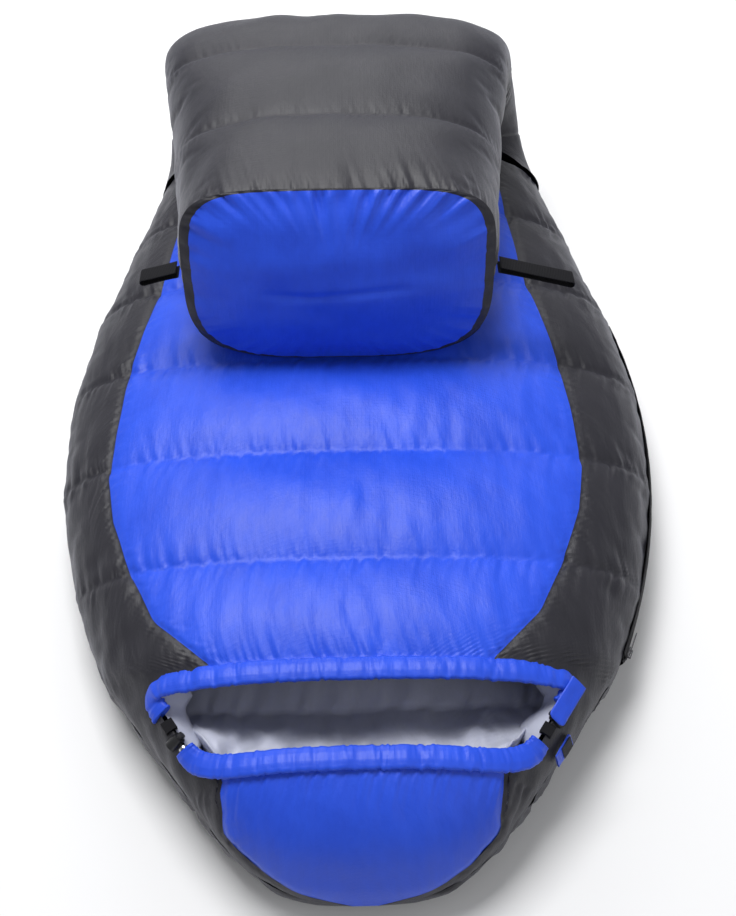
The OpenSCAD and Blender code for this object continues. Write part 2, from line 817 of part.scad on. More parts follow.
module foot_back_shell()
    color(charcoal) foot_layer(foot_y, fold_y, foot_rows, back_left, back_right, 14, 0, cloth);
module foot_back_down()
    color(down_white) foot_chambers(back_left, back_right, 14);
module foot_front_shell()
    color(charcoal) {
        foot_layer(foot_y, fold_y, foot_rows, front_right, toe_right_out, 5, 0, cloth);
        foot_layer(foot_y, fold_y, foot_rows, toe_left_out, front_left, 5, 0, cloth);
    }
module foot_front_panel()
    color(blue) foot_layer(foot_y, fold_y, foot_rows, toe_right, toe_left, 8, 0, cloth);
module foot_front_down()
    color(down_white) foot_chambers(front_right, front_left, 18);
module foot_lining()
    color(grey) {
        foot_layer(foot_y, fold_y, foot_rows, back_left, back_right, 12, lining_from, lining_to);
        foot_layer(foot_y, fold_y, foot_rows, front_right, front_left, 12, lining_from, lining_to);
    }

// The end panel is a dome over the end section
end_rings = [1, 0.88, 0.7, 0.48, 0.25];
function end_point(share, angle, back) =
    let (
        s = foot_section(foot_y),
        p = foot_point(foot_y, angle, 0),
        mid_z = (s[1] + s[3]) / 2,
        z = mid_z + (p[2] - mid_z) * share,
        y = foot_y + lean * (z - s[1]) - 0.6 - foot_dome * (1 - share * share) - back
    )
    [foot_shift + (p[0] - foot_shift) * share, y, z];
end_sides = 32;
function end_angle(k) = 360 * k / end_sides - 90;
module end_layer(front, behind) {
    n = len(end_rings);
    m = n * end_sides;
    centre = 2 * m;
    polyhedron(
        points = [
            for (r = end_rings, k = [0:end_sides - 1]) end_point(r, end_angle(k), front),
            for (r = end_rings, k = [0:end_sides - 1]) end_point(r, end_angle(k), behind),
            end_point(0, 0, front), end_point(0, 0, behind)
        ],
        faces = concat(
            tube_faces(n, end_sides, 0, false),
            tube_faces(n, end_sides, m, true),
            [for (k = [0:end_sides - 1])
                let (j = (k + 1) % end_sides)
                each [
                    [m - end_sides + k, m - end_sides + j, centre],
                    [2 * m - end_sides + k, centre + 1, 2 * m - end_sides + j],
                    [k, m + j, j], [k, m + k, m + j]
                ]]
        )
    );
}
module foot_end_shell() color(blue) end_layer(cloth, 0);

// Fill and lining of the end panel lie inside the tube, behind the shell
end_back = foot_dome + 20;
end_inset = lining_to + 4;
module foot_end_down()
    color(down_white)
        intersection() {
            end_layer(-layer_gap, -end_back);
            foot_end_room(end_inset);
        }
module foot_end_lining()
    color(grey)
        intersection() {
            end_layer(-end_back - layer_gap, -end_back - layer_gap - cloth);
            foot_end_room(end_inset);
        }
// Room inside the lining at the foot end
end_room_in = 140;
end_room_out = 100;
module foot_end_room(inset) {
    ring = [for (k = [0:end_sides - 1]) section_point(foot_section(foot_y), end_angle(k), inset)];
    translate([foot_shift, foot_y + end_room_in, 0]) rotate([90, 0, 0])
        linear_extrude(height = end_room_in + end_room_out) polygon(ring);
}

// ---- hang loops ----

web_t = 1.6;
loop_core = 7;
loop_half = loop_core / 2 + web_t;
loop_clear = 0.3;
loop_seam = 6;
loop_droop = 16;
// A loop of folded webbing, flat along the side seam, with room inside for a hook
module hang_loop(reach)
    color(black)
        rotate([90, 0, 0])
            linear_extrude(height = webbing_width, center = true)
                difference() {
                    union() {
                        translate([0, -loop_half]) square([reach, 2 * loop_half]);
                        circle(r = loop_half, $fn = 36);
                        translate([reach, 0]) circle(r = loop_half, $fn = 36);
                    }
                    translate([loop_seam, -loop_core / 2]) square([reach - loop_seam, loop_core]);
                    translate([reach, 0]) circle(r = loop_core / 2, $fn = 36);
                }
loop_root = foot_point(foot_y + webbing_width / 2 + loop_seam, 90, 0);
loop_seat = webbing_width / 2 * (shin_half - foot_half) / foot_length + loop_half + loop_clear;
module loop_frame() translate(loop_root + [loop_seat, 0, 0]) rotate([0, loop_droop, 0]) children();
module right_hang_loop() loop_frame() hang_loop(loop_reach);
module left_hang_loop()
    translate([2 * foot_shift, 0, 0]) mirror([1, 0, 0]) loop_frame() hang_loop(loop_reach - loop_shorter);

base_shell();
base_down();
base_baffle_walls();
base_lining();
chest_shell();
chest_down();
chest_baffle_walls();
chest_lining();
left_side_shell();
left_side_down();
right_side_shell();
right_side_down();
hood_crown_shell();
hood_crown_down();
hood_left_shell();
hood_left_down();
hood_right_shell();
hood_right_down();
hood_lining();
chest_rim();
hood_rim();
neck_drawcord();
hood_drawcord();
neck_collar();
eyelets();
cord_anchors();
zip_tape_upper();
zip_tape_lower();
zip_coil_upper();
zip_coil_lower();
zip_stops();
zip_draught_tube();
zip_slider();
zip_puller();
left_lock_barrel();
left_lock_spring();
left_lock_plunger();
right_lock_barrel();
right_lock_spring();
right_lock_plunger();
upper_tab();
upper_tab_hook_pad();
lower_tab();
lower_tab_loop_pad();
knee_fold_shell();
knee_fold_down();
knee_fold_lining();
foot_back_shell();
foot_back_down();
foot_front_shell();
foot_front_panel();
foot_front_down();
foot_lining();
foot_end_shell();
foot_end_down();
foot_end_lining();
left_hang_loop();
right_hang_loop();
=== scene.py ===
import json
import math

import bpy
import numpy as np
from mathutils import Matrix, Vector

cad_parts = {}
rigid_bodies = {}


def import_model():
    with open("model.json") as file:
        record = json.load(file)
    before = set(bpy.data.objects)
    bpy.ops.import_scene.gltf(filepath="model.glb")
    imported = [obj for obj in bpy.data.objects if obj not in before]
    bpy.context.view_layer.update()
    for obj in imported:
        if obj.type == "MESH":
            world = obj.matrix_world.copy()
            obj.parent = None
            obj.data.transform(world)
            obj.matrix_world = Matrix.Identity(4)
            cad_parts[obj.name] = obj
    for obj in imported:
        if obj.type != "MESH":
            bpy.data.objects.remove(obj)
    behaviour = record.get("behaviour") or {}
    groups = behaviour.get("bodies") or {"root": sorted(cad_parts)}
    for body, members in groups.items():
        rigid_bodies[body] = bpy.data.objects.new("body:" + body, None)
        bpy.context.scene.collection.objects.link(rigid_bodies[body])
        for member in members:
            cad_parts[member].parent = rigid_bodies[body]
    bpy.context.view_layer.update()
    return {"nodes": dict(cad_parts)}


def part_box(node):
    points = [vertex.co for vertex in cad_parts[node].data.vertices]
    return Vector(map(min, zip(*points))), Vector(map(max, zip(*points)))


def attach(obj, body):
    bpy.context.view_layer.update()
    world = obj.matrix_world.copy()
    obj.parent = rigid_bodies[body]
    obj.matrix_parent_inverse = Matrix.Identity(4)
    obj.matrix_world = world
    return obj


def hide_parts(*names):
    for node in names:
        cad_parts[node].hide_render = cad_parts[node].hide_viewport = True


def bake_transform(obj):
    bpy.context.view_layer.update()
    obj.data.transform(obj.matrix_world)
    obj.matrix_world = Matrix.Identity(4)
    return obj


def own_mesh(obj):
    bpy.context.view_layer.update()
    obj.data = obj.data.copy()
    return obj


for thing in list(bpy.data.objects):    # the default cube, lamp and camera
    bpy.data.objects.remove(thing)
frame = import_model()
print("frame loaded")

# shape of the bag, in metres

bag = {
    "crown": -0.695, "mouthFront": -0.579, "mouthBack": -0.457, "fold": 0.495,
    "height": 0.2, "side": 0.08, "halfWidth": 0.4155, "arcRadius": 0.9, "widest": -0.015,
    "shoulder": -0.435, "hip": 0.165, "flank": 0.8,
    "legHeight": 0.203, "shinHalf": 0.278, "footHalf": 0.208, "footHeight": 0.236, "footLean": 17,
    "footDome": 0.03, "footShift": -0.02,
    "seams": [-0.457, -0.324, -0.159, 0.006, 0.171, 0.336, 0.495],
    "rimAngle": 62, "rimInset": 0.0124,
}
# half width of the blue panels along the bag, and how far their middle lies to one side
panelStations = [0.012, .025, .04, .067, .116, .238, .3, .371, .45, .521, .704, .9, 1.21]
panelHalves = [.098, .126, .145, .158, .163, .166, .232, .270, .301, .316, .308, .274, .253]
panelMiddles = [-.002, -.002, -.002, -.002, -.002, -.011, -.016, -.016, -.016, -.016, -.016, -.016, -.012]

arcX = bag["halfWidth"] - bag["arcRadius"]


def onArc(y):
    return arcX + np.sqrt(bag["arcRadius"] ** 2 - (y - bag["widest"]) ** 2)


flankAngle = math.atan(bag["flank"])
shoulderX = float(onArc(bag["shoulder"]))
flankApex = bag["shoulder"] - shoulderX / bag["flank"]
crownCentre = (bag["crown"] - flankApex * math.sin(flankAngle)) / (1 - math.sin(flankAngle))
crownFit = crownCentre - bag["crown"]
crownTouch = crownCentre - crownFit * math.sin(flankAngle)
hipX = float(onArc(bag["hip"]))
taper = (hipX - float(onArc(bag["hip"] - 0.001))) / 0.001


def halfWidth(y):
    y = np.asarray(y, float)
    crown = np.sqrt(np.maximum(1e-6, crownFit ** 2 - (np.minimum(y, crownTouch) - crownCentre) ** 2))
    flank = shoulderX - bag["flank"] * (bag["shoulder"] - y)
    side = onArc(np.clip(y, bag["shoulder"], bag["hip"]))
    return np.where(y < crownTouch, crown, np.where(y < bag["shoulder"], flank, np.where(
        y < bag["hip"], side, hipX + taper * (y - bag["hip"]))))


def topHeight(y):
    t = np.clip((bag["mouthBack"] - np.asarray(y, float)) / (bag["mouthBack"] - bag["crown"]), 0, 1)
    return bag["height"] * (1 - t ** 2.2) ** (1 / 2.2)


def panelEdge(y, side):
    d = np.asarray(y, float) - bag["crown"]
    return abs(np.interp(d, panelStations, panelMiddles) + side * np.interp(d, panelStations, panelHalves))


def bodySection(y):
    top = topHeight(y)
    return (halfWidth(y), 0 * top, np.minimum(bag["side"], 0.45 * top), top, 5, 2.6, 1.04)


def alongFoot(y):
    return (bag["fold"] - np.asarray(y, float)) / bag["fold"]


foldTop = bag["height"] + bag["legHeight"]


def footSection(y):
    t = alongFoot(y)
    square = np.maximum(0, t) ** 4
    return (bag["shinHalf"] + (bag["footHalf"] - bag["shinHalf"]) * t, bag["height"] + 0.0004 + 0 * t,
            foldTop - 0.08 + (0.08 - bag["legHeight"] + bag["footHeight"] / 2) * t,
            foldTop + (bag["footHeight"] - bag["legHeight"]) * t, 2.6 + 0.8 * square, 2.5 + 2.5 * square, 1)


# x and z of a section at an angle from the top, a depth below its surface
def sectionPoint(s, angle, depth):
    half, low, mid, top, powLow, powUp, flat = s
    a = np.radians(angle)
    upper = np.abs(angle) <= 90
    rise = np.where(upper, top - mid, mid - low)
    power = np.where(upper, powUp, powLow)
    d = np.minimum(depth, 0.86 * np.minimum(half, np.minimum(top - mid, mid - low)))
    c = np.minimum(1, np.where(upper, 1, flat) * np.abs(np.cos(a)) ** (2 / power))
    x = np.sign(np.sin(a)) * (half - d) * np.abs(np.sin(a)) ** (2 / power)
    return x, mid + np.where(upper, 1, -1) * (rise - d) * c


def bodyPoint(y, angle, depth):
    x, z = sectionPoint(bodySection(y), angle, depth)
    return np.stack([x, y + 0 * x, z], -1)


lean = math.tan(math.radians(bag["footLean"]))


def footPoint(y, angle, depth):
    s = footSection(y)
    x, z = sectionPoint(s, angle, depth)
    return np.stack([bag["footShift"] + x, y + np.maximum(0, alongFoot(y)) * lean * (z - s[1]), z], -1)


# a point of the fold: the body's end section carried round the fold line into the foot section
def foldPoint(turn, angle, depth):
    t = turn / 180
    edge = bag["fold"] + 0 * angle
    wrapped = np.where(180 - angle > 270, -180 - angle, 180 - angle)
    px, pz = sectionPoint(bodySection(edge), wrapped, depth)
    qx, qz = sectionPoint(footSection(edge), angle, depth)
    r = (bag["height"] - pz) * (1 - t) + (qz - bag["height"]) * t
    a = np.radians(turn)
    x = px * (1 - t) + (bag["footShift"] + qx) * t
    return np.stack([x, edge + r * np.sin(a), bag["height"] - r * np.cos(a)], -1)


# the distance run at each point of a line
def runOf(line):
    return np.concatenate([[0], np.cumsum(np.linalg.norm(np.diff(line, axis=0), axis=1))])


# evenly spaced angles along a section's curve, between each pair of the given angles
def even(point, angles, cols):
    found = []
    for a, b, n in zip(angles, angles[1:], cols):
        fine = np.linspace(a, b, 240)
        p = point(fine)
        run = runOf(p)
        found.append(np.interp(np.linspace(0, run[-1], n + 1), run, fine)[(1 if found else 0):])
    return np.concatenate(found)


# evenly spaced places that include every mark, and the row number of each mark
def rowsThrough(marks, step):
    rows, at = [marks[0]], [0]
    for a, b in zip(marks, marks[1:]):
        n = max(2, round(abs(b - a) / step))
        rows += list(a + (b - a) * np.arange(1, n + 1) / n)
        at.append(len(rows) - 1)
    return np.array(rows), at


def smooth(t):
    t = np.clip(t, 0, 1)
    return t * t * (3 - 2 * t)


# a smooth random curve of about one unit height, with waves about as long as wave
def ripple(x, wave, seed, octaves=2):
    x = np.asarray(x, float)
    gen = np.random.default_rng(seed)
    total = np.zeros_like(x)
    for o in range(octaves):
        for _ in range(4):
            k = 2 * math.pi / wave * (1.9 ** o) * gen.uniform(0.75, 1.35)
            total += np.sin(k * x + gen.uniform(0, 6.3)) * 0.5 / (1.6 ** o)
    return total / 1.3


# smooth random heights over a sheet, u and v in metres
def field(u, v, wave, seed, count=10):
    gen = np.random.default_rng(seed)
    total = 0
    for _ in range(count):
        a, k = gen.uniform(0, 6.3), 2 * math.pi / (wave * gen.uniform(0.6, 1.6))
        total = total + np.sin(k * (u * math.cos(a) + v * math.sin(a)) + gen.uniform(0, 6.3))
    return total / math.sqrt(count)


# distance across and along each point of a sheet, measured on the sheet
def flatSizes(grid):
    across = np.zeros(grid.shape[:2])
    across[:, 1:] = np.cumsum(np.linalg.norm(np.diff(grid, axis=1), axis=2), axis=1)
    across -= across[:, [grid.shape[1] // 2]]
    along = np.zeros(grid.shape[:2])
    along[1:] = np.cumsum(np.linalg.norm(np.diff(grid, axis=0), axis=2), axis=0)
    return across, along + 0 * across


# outward normals of a grid whose columns run clockwise seen from its front
def normalsOf(grid, wrap=False):
    du = np.gradient(grid, axis=1) if not wrap else (np.roll(grid, -1, 1) - np.roll(grid, 1, 1)) / 2
    dv = np.gradient(grid, axis=0)
    n = np.cross(du, dv)
    return n / np.maximum(1e-9, np.linalg.norm(n, axis=2, keepdims=True))


# the same sheet with twice the rows and columns, through a smooth curve
def finer(grid, wrap=False):
    for axis in (0, 1):
        g = np.moveaxis(grid, axis, 0)
        if axis == 1 and wrap:
            before, after, nextOne = np.roll(g, 1, 0), np.roll(g, -2, 0), np.roll(g, -1, 0)
            mid = (-before + 9 * g + 9 * nextOne - after) / 16
            made = np.empty((2 * len(g),) + g.shape[1:])
            made[0::2], made[1::2] = g, mid
        else:
            pad = np.concatenate([2 * g[:1] - g[1:2], g, 2 * g[-1:] - g[-2:-1]])
            mid = (-pad[:-3] + 9 * pad[1:-2] + 9 * pad[2:-1] - pad[3:]) / 16
            made = np.empty((2 * len(g) - 1,) + g.shape[1:])
            made[0::2], made[1::2] = g, mid
        grid = np.moveaxis(made, 0, axis)
    return grid


# the cells of a grid as quads of point numbers; keep says which of them have a face
def quadsOf(rows, cols, keep, wrap):
    index = np.arange(rows * cols).reshape(rows, cols)
    right = np.roll(index, -1, 1) if wrap else index[:, 1:]
    left = index if wrap else index[:, :-1]
    quads = np.stack([left[:-1], right[:-1], right[1:], left[1:]], -1)
    return (quads if keep is None else quads[keep]).reshape(-1, 4)


def placed(name, data):
    thing = bpy.data.objects.new(name, data)
    bpy.context.scene.collection.objects.link(thing)
    return thing


# a mesh from a grid of points
def gridMesh(name, grid, keep=None, wrap=False, flat=None, normals=None):
    rows, cols = grid.shape[:2]
    quads = quadsOf(rows, cols, keep, wrap)
    used = np.unique(quads)
    renumber = np.full(rows * cols, -1)
    renumber[used] = np.arange(len(used))
    mesh = bpy.data.meshes.new(name)
    mesh.from_pydata(grid.reshape(-1, 3)[used].tolist(), [], renumber[quads].tolist())
    mesh.polygons.foreach_set("use_smooth", [True] * len(mesh.polygons))
    if flat is not None:
        layer = mesh.attributes.new("cloth", "FLOAT_VECTOR", "POINT")
        u, v = flat
        layer.data.foreach_set("vector", np.stack([u, v, 0 * u], -1).reshape(-1, 3)[used].ravel())
    if normals is not None:
        mesh.normals_split_custom_set_from_vertices(normals.reshape(-1, 3)[used].tolist())
    return placed(name, mesh)


# cloth

puff = {
    "cell": 0.0085,        # size of a simulated cell
    "seamDepth": 0.008,    # how deep the quilting seams lie under the top of the puffs
    "growth": -0.045,      # spare cloth in each direction, as a negative shrink
    "pressure": 22,
    "frames": 26,
    "mostMove": 0.03,
}


# inflates all the sheets at once. A sheet is {"mesh", "grid", "pins"}; its grid is replaced by the result
def simulate(sheets):
    scene = bpy.context.scene
    scene.frame_start, scene.frame_end = 1, puff["frames"]
    for s in sheets:
        thing = s["mesh"]
        pins = thing.vertex_groups.new(name="pins")
        weights = s["pins"].reshape(-1)
        for level in np.unique(weights[weights > 0]):
            pins.add([int(i) for i in np.flatnonzero(weights == level)], float(level), "REPLACE")
        cloth = thing.modifiers.new("cloth", "CLOTH")
        c = cloth.settings
        c.vertex_group_mass = "pins"
        c.quality = 5
        c.mass = 0.12
        c.tension_stiffness = c.compression_stiffness = 12
        c.shear_stiffness = 4
        c.bending_stiffness = s.get("bending", 0.06)
        c.air_damping = 2.5
        c.shrink_min = s.get("growth", puff["growth"])
        c.use_pressure = True
        c.uniform_pressure_force = s.get("pressure", puff["pressure"])
        c.effector_weights.gravity = 0
        cloth.collision_settings.use_collision = False
        cloth.point_cache.frame_end = puff["frames"]
    for f in range(1, puff["frames"] + 1):
        scene.frame_set(f)
    graph = bpy.context.evaluated_depsgraph_get()
    for s in sheets:
        made = s["mesh"].evaluated_get(graph).data
        co = np.zeros(len(made.vertices) * 3, np.float32)
        made.vertices.foreach_get("co", co)
        moved = co.reshape(s["grid"].shape).astype(float) - s["grid"]
        size = np.linalg.norm(moved, axis=2, keepdims=True)
        moved *= np.minimum(1, puff["mostMove"] / np.maximum(size, 1e-9))
        free = (s["pins"] < 1)[..., None]
        moved[1:-1] = (moved[:-2] + 3 * moved[1:-1] + moved[2:]) / 5 * free[1:-1]
        moved[:, 1:-1] = (moved[:, :-2] + 2 * moved[:, 1:-1] + moved[:, 2:]) / 4 * free[:, 1:-1]
        s["grid"] = s["grid"] + moved
        bpy.data.objects.remove(s["mesh"])
    scene.frame_set(1)


# a sheet ready to inflate; every point is in the mesh, those with no face are pinned
def sheetOf(name, grid, pins, wrap=False, keep=None, **more):
    rows, cols = grid.shape[:2]
    quads = quadsOf(rows, cols, keep, wrap)
    if keep is not None:
        used = np.zeros(rows * cols, bool)
        used[quads.reshape(-1)] = True
        pins = np.where(used.reshape(rows, cols), pins, 1.0)
    mesh = bpy.data.meshes.new(name)
    mesh.from_pydata(grid.reshape(-1, 3).tolist(), [], quads.tolist())
    return {"mesh": placed(name, mesh), "grid": grid, "pins": pins, "wrap": wrap, **more}


# 0 at every mark and 1 midway between two, along n rows
def bulgeBetween(n, marks):
    out = np.zeros(n)
    for a, b in zip(marks, marks[1:]):
        t = np.linspace(0, 1, b - a + 1)
        out[a:b + 1] = np.sqrt(np.maximum(0, 1 - (2 * t - 1) ** 2))
    return out


# rows of the body from the crown to the fold, and its columns from side to side
bodyMarks = [bag["crown"] + 0.0005, bag["mouthFront"]] + bag["seams"]
bodyRows, bodyAt = rowsThrough(bodyMarks, puff["cell"])
rimRow, neckRow = bodyAt[1], bodyAt[2]
panelCols, flankCols, stripCols, underCols = 74, 16, 9, (12, 22, 12)
widths = (stripCols, flankCols, panelCols, flankCols, stripCols)
edges = np.cumsum((0,) + widths)


# angle at which the opening ends: under the rims, which turn in towards their corners
def mouthEnd(y):
    hoodSide = np.clip((y - (bag["mouthFront"] + bag["rimInset"])) / 0.023, 0, 1)
    chestSide = np.clip(((bag["mouthBack"] - bag["rimInset"]) - y) / 0.02, 0, 1)
    return (bag["rimAngle"] - 8 * (1 - np.sqrt(1 - (1 - hoodSide) ** 2))
            - 14 * (1 - np.sqrt(1 - (1 - chestSide) ** 2)))


def bodyAngles(y):
    half = bodySection(np.array([y]))[0][0]
    left, right = [math.degrees(math.asin(min(0.97, float(panelEdge(y, k) / half)) ** 1.3)) for k in (-1, 1)]
    away = smooth(np.maximum(bag["mouthFront"] - y, y - bag["mouthBack"]) / 0.03)
    side = float(mouthEnd(y) * (1 - away) + bag["rimAngle"] * away)
    if away == 0:
        left, right = min(left, side - 3), min(right, side - 3)
    marks = [-90, -max(side, left + 3), -left, right, max(side, right + 3), 90]
    return even(lambda a: bodyPoint(np.full_like(a, y), a, 0.008), marks, widths)


def underAngles(y):
    return even(lambda a: bodyPoint(np.full_like(a, y), a, 0.001), [90.001, 150, 210, 269.999], underCols)


# the layers come up to the outline along the widest line, where the zip and the side seam are
def sideDepth(points, y, deep):
    mid = bodySection(y)[2]
    return 0.0006 + (deep - 0.0006) * smooth((np.abs(points[..., 2] - mid) - 0.012) / 0.035)


topAngles = np.array([bodyAngles(y) for y in bodyRows])
lowAngles = np.array([underAngles(y) for y in bodyRows])
yTop = bodyRows[:, None] + 0 * topAngles
yLow = bodyRows[:, None] + 0 * lowAngles
topGrid = bodyPoint(yTop, topAngles, sideDepth(bodyPoint(yTop, topAngles, 0.008), yTop, puff["seamDepth"]))
lowGrid = bodyPoint(yLow, lowAngles, sideDepth(bodyPoint(yLow, lowAngles, 0.003), yLow, 0.006))
lowGrid[..., 2] = np.maximum(lowGrid[..., 2], 0)

topPins = np.zeros(topGrid.shape[:2])
topPins[:, edges[2]] = topPins[:, edges[3]] = 0.25      # seams between the panels
topPins[bodyAt] = 1
topPins[bodyRows < bag["crown"] + 0.012] = 1
topPins[:, [0, -1]] = 1
topPins[rimRow:neckRow + 1, edges[1]] = topPins[rimRow:neckRow + 1, edges[4]] = 1
openCells = np.ones((len(bodyRows) - 1, edges[-1]), bool)
openCells[rimRow:neckRow, edges[1]:edges[4]] = False
cellAngle = np.abs(topAngles[:-1, :-1] + topAngles[1:, 1:]) / 2
openCells[rimRow] = openCells[neckRow - 1] = True    # a seam allowance under each rim
openCells[rimRow + 1] |= cellAngle[rimRow + 1] > 47
topPins[[rimRow + 1, rimRow + 2, neckRow - 1]] = 1

lowPins = np.zeros(lowGrid.shape[:2])
lowPins[bodyAt] = 1
lowPins[bodyRows < bag["crown"] + 0.012] = 1
lowPins[:, [0, -1]] = 1
lowPins[lowGrid[..., 2] < 0.0008] = 1

# rows of the folded foot section and of the fold itself
legSeams = [0.0, 0.225, 0.458, 0.495]
foldSeams = [180, 122, 62, 0]
legRows, legAt = rowsThrough(legSeams, puff["cell"])
foldRows, foldAt = rowsThrough(foldSeams, 2.6)
foldSpan = 118


def legAngles(y):
    return even(lambda a: footPoint(np.full_like(a, y), a, 0.008), [-foldSpan, -90, 90, foldSpan], (9, 74, 9))


def foldAngles(turn):
    span = foldSpan + 44 * math.sin(math.radians(turn)) ** 2      # closes the crease at the sides of the fold
    return even(lambda a: foldPoint(turn, a, 0.008), [-span, -90, 90, span], (9, 74, 9))


legTopAngles = np.array([legAngles(y) for y in legRows])
foldTopAngles = np.array([foldAngles(t) for t in foldRows])
yLeg = legRows[:, None] + 0 * legTopAngles
legGrid = footPoint(yLeg, legTopAngles, puff["seamDepth"])
tFold = foldRows[:, None] + 0 * foldTopAngles
foldDepth = puff["seamDepth"] * np.sin(np.radians(tFold / 2)) ** 0.5 + 0.0006
foldGrid = foldPoint(tFold, foldTopAngles, foldDepth)
blendRows = np.linspace(1, 0, 12)[:, None, None]
evenDepth = foldPoint(tFold, foldTopAngles, puff["seamDepth"])[:12]
foldGrid[:12] = foldGrid[:12] * (1 - blendRows) + blendRows * evenDepth
outerGrid = np.concatenate([legGrid, foldGrid[1:]])
outerAt = legAt + [legAt[-1] + k for k in foldAt[1:]]
outerAt = [k for k in outerAt if k != legAt[-1]]
outerPins = np.zeros(outerGrid.shape[:2])
outerPins[outerAt] = 1
outerPins[:, [0, -1]] = 1

frontAngles = np.array([np.linspace(foldSpan, 360 - foldSpan, 41)] * len(legRows))
frontGrid = footPoint(legRows[:, None] + 0 * frontAngles, frontAngles, 0.001)
frontPins = np.zeros(frontGrid.shape[:2])
frontPins[[0, -1]] = 1
frontPins[:, [0, -1]] = 1

# the domed end panel, as rings from its seam to its middle
endRings, endSides, bandRings = 16, 112, 3
endAngles = even(lambda a: footPoint(np.zeros_like(a), a, 0), [-90, 90], (endSides // 2,))[:-1]
lowerEnd = even(lambda a: footPoint(np.zeros_like(a), a, 0), [90.001, 269.999], (endSides // 2,))[:-1]
endAngles = np.concatenate([endAngles, lowerEnd])[::-1]


def endPoint(share, angle, back):
    s = footSection(0 * angle)
    p = footPoint(0 * angle, angle, 0.002)
    midZ = (s[1] + s[3]) / 2
    z = midZ + (p[..., 2] - midZ) * share
    y = lean * (z - s[1]) - 0.0006 - bag["footDome"] * (1 - share ** 2) - back
    return np.stack([bag["footShift"] + (p[..., 0] - bag["footShift"]) * share, y, z], -1)


shares = np.concatenate([np.linspace(1, 0.985, bandRings),
                         np.linspace(0.985, 0.02, endRings - bandRings + 1)[1:]])
endGrid = endPoint(shares[:, None], np.tile(endAngles, (endRings, 1)), -0.006 * (1 - shares[:, None] ** 2))
narrow = 1 - 0.055 * smooth(np.arange(endRings) / (bandRings - 1))
endGrid[..., 0] = bag["footShift"] + (endGrid[..., 0] - bag["footShift"]) * narrow[:, None]
endPins = np.zeros(endGrid.shape[:2])
endPins[0] = 1

sheets = {
    "top": sheetOf("topCloth", topGrid, topPins, keep=openCells, growth=-0.013, bending=0.5,
                   bulge=bulgeBetween(len(bodyRows), bodyAt)[:, None] * np.ones(topGrid.shape[1])),
    "low": sheetOf("lowCloth", lowGrid, lowPins,
                   bulge=bulgeBetween(len(bodyRows), bodyAt)[:, None] * (lowPins < 1)),
    "leg": sheetOf("legCloth", outerGrid, outerPins, growth=-0.015, bending=0.6, pressure=56,
                   bulge=bulgeBetween(len(outerGrid), outerAt)[:, None] * np.ones(outerGrid.shape[1])),
    "front": sheetOf("frontCloth", frontGrid, frontPins, growth=-0.01, pressure=4,
                     bulge=np.zeros(frontGrid.shape[:2])),
    "end": sheetOf("endCloth", endGrid, endPins, wrap=True, growth=-0.012, bending=0.5, pressure=14,
                   bulge=np.zeros(endGrid.shape[:2])),
}
simulate(list(sheets.values()))
print("cloth inflated")


# finishing the sheets

# height, reach and wave of the puckers along each kind of seam, and the height of the fine creases
gathers = {
    "seam": (0.0016, 0.017, 0.022), "rim": (0.0014, 0.018, 0.017), "edge": (0.0011, 0.014, 0.019),
    "legEnd": (0.0030, 0.030, 0.026), "legSeam": (0.0011, 0.012, 0.014), "lining": (0.0038, 0.035, 0.035),
    "crease": 0.0007,
}


# puckers that fade with the distance from a seam
def gather(run, away, height, reach, wave, seed):
    fade = np.exp(-away / reach) * smooth(away / 0.006)
    return height * ripple(run + 0.25 * away, wave, seed) * fade


# the row values of a sheet after finer()
def halves(rows):
    out = np.empty(2 * len(rows) - 1)
    out[0::2], out[1::2] = rows, (rows[:-1] + rows[1:]) / 2
    return out


# top of the body and hood: pressed flat where the foot section lies on it
top = sheets["top"]["grid"]
half, low, mid = footSection(np.clip(top[..., 1], 0, bag["fold"]))[:3]
fromLeg = np.abs(top[..., 0] - bag["footShift"])
inLeg = (fromLeg < half) & (top[..., 1] > -0.03)
under = mid - (mid - low) * (1 - np.minimum(1, fromLeg / half) ** 2.6) ** (1 / 2.6)
under += 4 * np.maximum(0, -top[..., 1]) ** 1.5
top[..., 2] = np.where(inLeg, np.minimum(top[..., 2], under - 0.0008), top[..., 2])
for c in (edges[2], edges[3]):    # the seams beside the panel run as even curves
    drift = top[:, c, 0] - topGrid[:, c, 0]
    evened = np.convolve(np.pad(drift, 9, "edge"), np.hanning(21)[1:-1] / np.hanning(21).sum(), "valid")
    reach = np.exp(-((np.arange(top.shape[1]) - c) / 5.0) ** 2)
    top[..., 0] += (evened - drift)[:, None] * reach


# rounds the crown of the hood, a little in from the outline
def nose(grid):
    t = np.clip((-0.6 - grid[..., 1]) / 0.095, 0, 1)
    grid[..., 1] += 0.010 * t ** 2
    grid[..., 2] += 0.04 * t ** 6 * np.clip(1 - grid[..., 2] / 0.1, 0, 1)
    grid[0, :, 2] = (grid[0, 0, 2] + grid[0, -1, 2]) / 2      # closes the tip
    return grid


